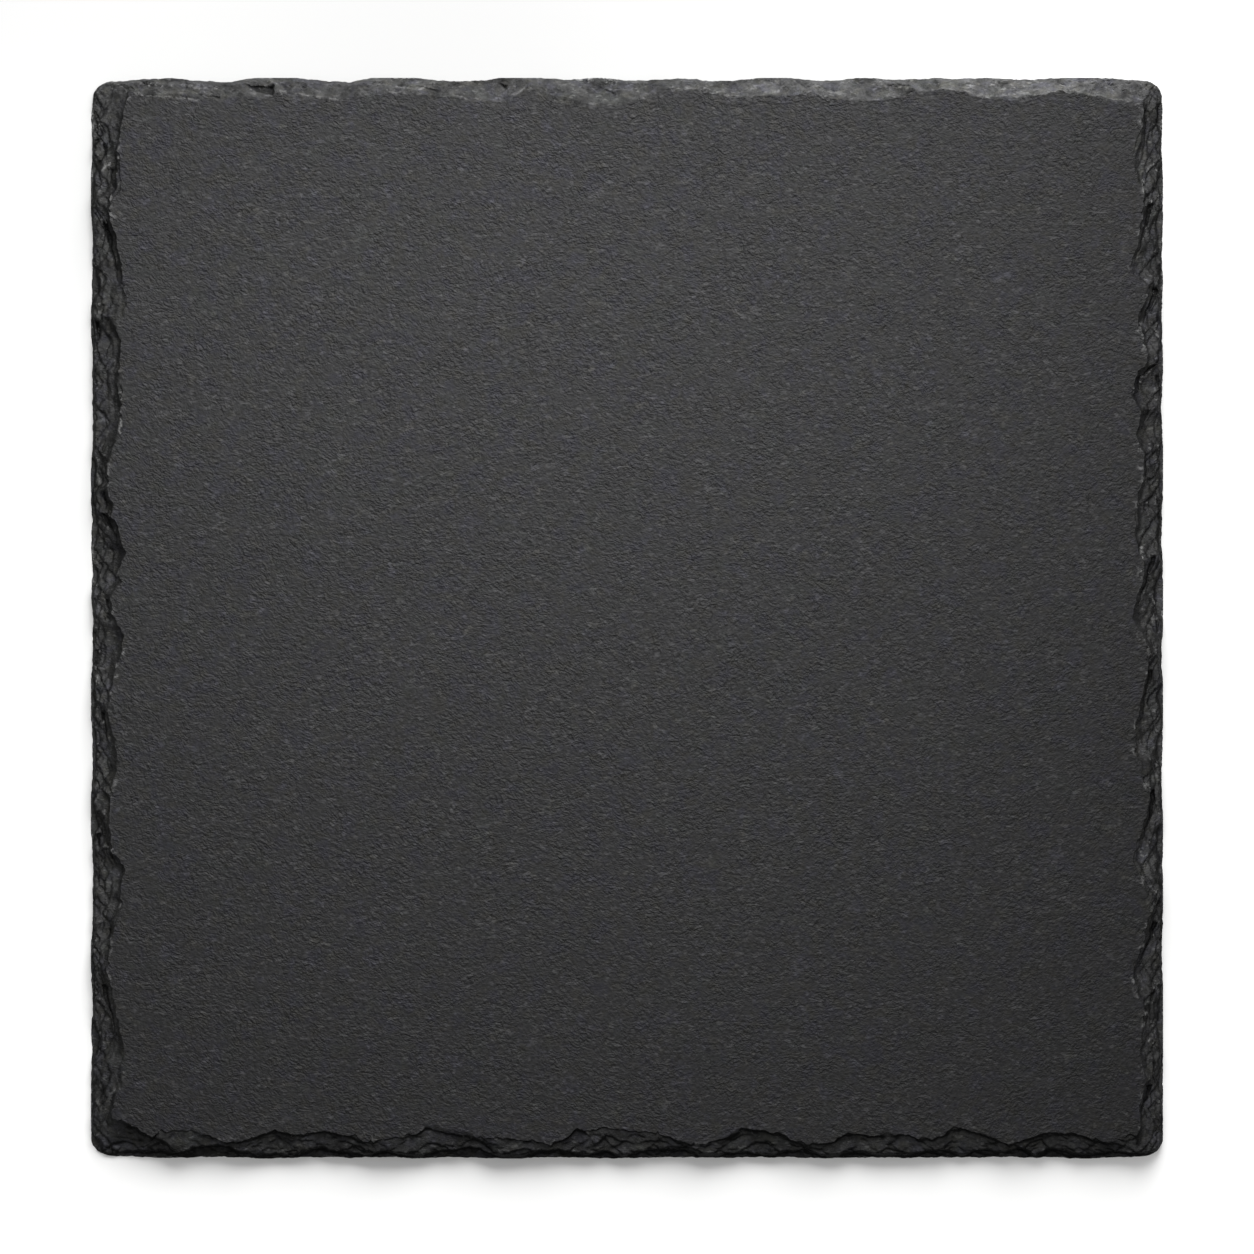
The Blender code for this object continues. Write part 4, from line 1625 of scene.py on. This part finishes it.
def bruise_effect() -> bpy.types.NodeTree:
    """Pale crushed stone along crests and in stray specks."""
    graph, take, give = effect(
        "bruising",
        {"Place": "NodeSocketVector", "Reach": "NodeSocketFloat", "Specks": "NodeSocketFloat"},
        {"Mask": "NodeSocketFloat"},
    )
    place = take["Place"]
    patchy = graph.span(graph.noise(place, scale=300, detail=1), 0.5, 0.6)
    gritty = graph.span(graph.noise(place, scale=1300, roughness=0.6), 0.46, 0.6)
    crest = graph.span(graph.attribute("crest"), 0.4, 1.3)
    crest = graph.times(graph.times(crest, graph.times(patchy, gritty)), take["Reach"])
    stirred = graph.stir(place, scale=300, amount=2 * MM)
    fibre = graph.swing(graph.vector("MULTIPLY", stirred, (0.5, 1, 1)), scale=900, detail=1)
    fibre = graph.span(graph.math("ABSOLUTE", fibre), 0.03, 0.0)
    patch = graph.span(graph.noise(place, scale=520, detail=1), 0.6, 0.72)
    speck = graph.times(graph.times(fibre, patch), take["Specks"])
    broken = graph.span(graph.noise(place, scale=700, roughness=0.6), 0.42, 0.6)
    line = graph.times(graph.times(graph.attribute("crushed"), broken), take["Reach"])
    mask = graph.math("MAXIMUM", graph.math("MAXIMUM", crest, line), speck, clamp=True)
    graph.feed(give["Mask"], mask)
    return graph.tree


class Effects:
    """The shared node groups, each built once."""

    _made: dict[str, bpy.types.NodeTree] = {}
    _recipes = {
        "riven_grain": grain_effect,
        "flaked_stone": flake_effect,
        "bedding": bedding_effect,
        "stone_mottle": mottle_effect,
        "bruising": bruise_effect,
    }

    @classmethod
    def place(cls, graph: Graph, name: str, inputs: dict) -> Socket:
        """Put a shared effect in a material and return its result."""
        if name not in cls._made:
            cls._made[name] = cls._recipes[name]()
        group = graph.node("ShaderNodeGroup", node_tree=cls._made[name])
        for label, value in inputs.items():
            graph.feed(group.inputs[label], value)
        return group.outputs[0]


@dataclass(frozen=True)
class Stone:
    """What both finishes are made of: grey stone with faint tints, flecks and pale bruises.

    Fields:
        name: the material's.
        ground, pale: the stone's colour, whole and crushed.
        shine: how strongly it reflects, as the shader's specular level.
        roughness: how matt it is.
        pitch, stretch: how wide its grain is, and how many times longer.
        relief: how high the grain stands.
        tints, flecks: how strong its tinted patches and its flecks are, as shares.
        specks: how strong its stray pale specks are, as a share.
        bruises: how strong its bruises are, as a share.
    """

    name: str
    ground: Colour
    pale: Colour
    shine: float
    pitch: float
    stretch: float
    relief: float
    tints: float
    flecks: float
    specks: float
    roughness: float = 0.6
    bruises: float = 0.8

    def material(self) -> bpy.types.Material:
        """Make the finish."""
        made = bpy.data.materials.new(self.name)
        made.use_nodes = True
        graph = Graph(made.node_tree)
        place = graph.node("ShaderNodeTexCoord").outputs["Object"]
        bump = graph.node("ShaderNodeBump", {**self._relief(graph, place), "Strength": 1.0})
        mottle = {"Ground": self._ground(graph), "Amount": self.tints, "Flecks": self.flecks}
        colour = Effects.place(graph, "stone_mottle", {"Place": place, **mottle})
        bruise = {"Reach": self.bruises, "Specks": self.specks}
        bruised = Effects.place(graph, "bruising", {"Place": place, **bruise})
        shader = made.node_tree.nodes["Principled BSDF"]
        looks = {
            "Base Color": graph.blend(bruised, colour, self.pale),
            "Normal": bump.outputs[0],
            "Roughness": self.roughness,
            "Specular IOR Level": self.shine,
        }
        for label, look in looks.items():
            graph.feed(shader.inputs[label], look)
        return made

    def _grain(self, graph: Graph, place: Socket) -> Socket:
        """The height of the grain."""
        grain = {"Place": place, "Pitch": self.pitch, "Stretch": self.stretch}
        return Effects.place(graph, "riven_grain", grain)

    def _ground(self, graph: Graph) -> Socket | Colour:
        """The whole stone's colour."""
        return self.ground

    def _relief(self, graph: Graph, place: Socket) -> dict[str, Socket | float]:
        """What the bump is made from."""
        return {"Height": self._grain(graph, place), "Distance": self.relief}


@dataclass(frozen=True)
class SplitSlate(Stone):
    """The riven face: dark grey, matt, with a fine leathery grain."""

    name: str = "split_slate"
    ground: Colour = (0.0121, 0.012, 0.0124, 1)
    pale: Colour = (0.08, 0.08, 0.08, 1)
    shine: float = 0.09
    pitch: float = 0.78 * MM
    stretch: float = 1.22
    relief: float = 0.56 * MM
    tints: float = 0.6
    flecks: float = 1.2
    specks: float = 0.12


@dataclass(frozen=True)
class BrokenSlate(Stone):
    """The broken edge: fresher stone, smoother than the face, lined where layers crop out.

    Fields:
        facet, splinter: how wide its large and small facets are.
        facet_relief, splinter_relief: how high they stand.
        layer, layer_relief: how thick its layers are and how high their edges stand.
    """

    name: str = "broken_slate"
    ground: Colour = (0.0155, 0.0155, 0.0156, 1)
    pale: Colour = (0.11, 0.11, 0.109, 1)
    shine: float = 0.035
    pitch: float = 0.5 * MM
    stretch: float = 1.3
    relief: float = 0.4 * MM
    tints: float = 0.5
    flecks: float = 1.3
    specks: float = 0.25
    facet: float = 1.5 * MM
    facet_relief: float = 0.25 * MM
    splinter: float = 0.6 * MM
    splinter_relief: float = 0.16 * MM
    layer: float = 0.45 * MM
    layer_relief: float = 0.28 * MM

    def _ground(self, graph: Graph) -> Socket:
        """The whole stone's colour, times the painted light and shade stored on the mesh."""
        return graph.vector("MULTIPLY", self.ground[:3], graph.attribute("shade", "Color"))

    def _relief(self, graph: Graph, place: Socket) -> dict[str, Socket | float]:
        """What the bump is made from: the grain, two sizes of facet and the layers."""
        parts = (
            ("flaked_stone", "Size", self.facet, self.facet_relief),
            ("flaked_stone", "Size", self.splinter, self.splinter_relief),
            ("bedding", "Layer", self.layer, self.layer_relief),
        )
        height = graph.times(self._grain(graph, place), self.relief / MM)
        for effect_name, label, size, relief in parts:
            part = Effects.place(graph, effect_name, {"Place": place, label: size})
            height = graph.plus(height, graph.times(part, relief / MM))
        return {"Height": height, "Distance": MM}


@dataclass
class Studio:
    """A pale table, soft light from beyond the back edge, and a camera straight above.

    Fields:
        view_width, aim_y: how wide the camera's view of the table is, and its middle.
        lens, sensor: the camera's, in millimetres.
        table_size: of the table's square.
        table_near, table_far: the table's colour under the lamp and away from it.
        table_middle, table_reach: where the first is, and how far off the second has taken over.
        table_squeeze: how much nearer that is to the sides.
        table_roughness, table_shine: how matt the table is and how strongly it reflects.
        sky: how bright the even light is.
        lamp_place, lamp_aim, lamp_size: the soft box, what it points at, and its sides.
        lamp_spread, lamp_power: the angle that it shines into, in degrees, and its watts.
    """

    view_width: float = 292.4 * MM
    aim_y: float = -2.05 * MM
    lens: float = 200.0
    sensor: float = 36.0
    table_size: float = 6.0
    table_near: Colour = (0.27, 0.27, 0.269, 1)
    table_far: Colour = (0.93, 0.93, 0.925, 1)
    table_middle: Spot = (-0.04, 0.158, 0)
    table_reach: float = 0.384
    table_squeeze: float = 1.33
    table_roughness: float = 0.8
    table_shine: float = 0.2
    sky: float = 0.62
    lamp_place: Spot = (0.011, 0.214, 0.151)
    lamp_aim: Spot = (-0.042, 0.033, 0)
    lamp_size: Range = (0.325, 0.347)
    lamp_spread: float = 101.0
    lamp_power: float = 1.66

    def build(self, top: float) -> None:
        """Set the stage.

        Args:
            top: height of the board's face; not used.
        """
        self._table()
        self._lights()
        self._camera(top)

    def _table(self) -> None:
        """The surface that the board lies on."""
        bpy.ops.mesh.primitive_plane_add(size=self.table_size, location=(0, 0, 0))
        table = bpy.context.object
        table.name = "table"
        made = bpy.data.materials.new("pale_table")
        made.use_nodes = True
        shader = made.node_tree.nodes["Principled BSDF"]
        graph = Graph(made.node_tree)
        place = graph.node("ShaderNodeTexCoord").outputs["Object"]
        squeezed = graph.vector("MULTIPLY", place, (self.table_squeeze, 1, 0))
        ends = {0: squeezed, 1: self.table_middle}
        away = graph.node("ShaderNodeVectorMath", ends, operation="DISTANCE").outputs["Value"]
        squared = {"Value": graph.times(away, away), 2: self.table_reach**2}
        shade = graph.node("ShaderNodeMapRange", squared).outputs[0]
        looks = {
            "Base Color": graph.blend(shade, self.table_near, self.table_far),
            "Roughness": self.table_roughness,
            "Specular IOR Level": self.table_shine,
        }
        for label, look in looks.items():
            graph.feed(shader.inputs[label], look)
        table.data.materials.append(made)

    def _lights(self) -> None:
        """A soft box beyond the back edge, and an even sky."""
        world = bpy.data.worlds.new("studio")
        bpy.context.scene.world = world
        world.use_nodes = True
        graph = Graph(world.node_tree)
        seen = graph.node("ShaderNodeLightPath").outputs["Is Camera Ray"]
        strength = graph.node("ShaderNodeMapRange", {"Value": seen, 3: self.sky, 4: 1.0}).outputs[0]
        sky = world.node_tree.nodes["Background"]
        sky.inputs["Color"].default_value = (1, 1, 1, 1)
        world.node_tree.links.new(strength, sky.inputs["Strength"])
        lamp = bpy.data.lights.new("soft_box", "AREA")
        lamp.shape = "RECTANGLE"
        lamp.size, lamp.size_y = self.lamp_size
        lamp.spread = math.radians(self.lamp_spread)
        lamp.energy = self.lamp_power
        box = bpy.data.objects.new("soft_box", lamp)
        bpy.context.scene.collection.objects.link(box)
        box.location = self.lamp_place
        towards = Vector(self.lamp_aim) - Vector(self.lamp_place)
        box.rotation_euler = towards.to_track_quat("-Z", "Y").to_euler()
        box.visible_camera = False

    def _camera(self, top: float) -> None:
        """A long lens straight above the board."""
        data = bpy.data.cameras.new("camera")
        data.lens, data.sensor_width = self.lens, self.sensor
        camera = bpy.data.objects.new("camera", data)
        bpy.context.scene.collection.objects.link(camera)
        camera.location = (0, self.aim_y, self.view_width * self.lens / self.sensor)
        bpy.context.scene.camera = camera
        bpy.context.scene.view_settings.view_transform = "Standard"


def main() -> None:
    """Build the board and the studio."""
    logging.basicConfig(level=logging.INFO, format="%(name)s: %(message)s")
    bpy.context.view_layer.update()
    low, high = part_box(NODE)
    edge = DressedEdge((high.x - low.x) / 2, (high.y - low.y) / 2, high.z)
    piece = SlateBoard(edge).build()
    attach(piece, "root")
    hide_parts(NODE)
    triangles = sum(len(face.vertices) - 2 for face in piece.data.polygons)
    log.info("%s: %d triangles", piece.name, triangles)
    Studio().build(edge.thickness)


if __name__ == "__main__":
    main()
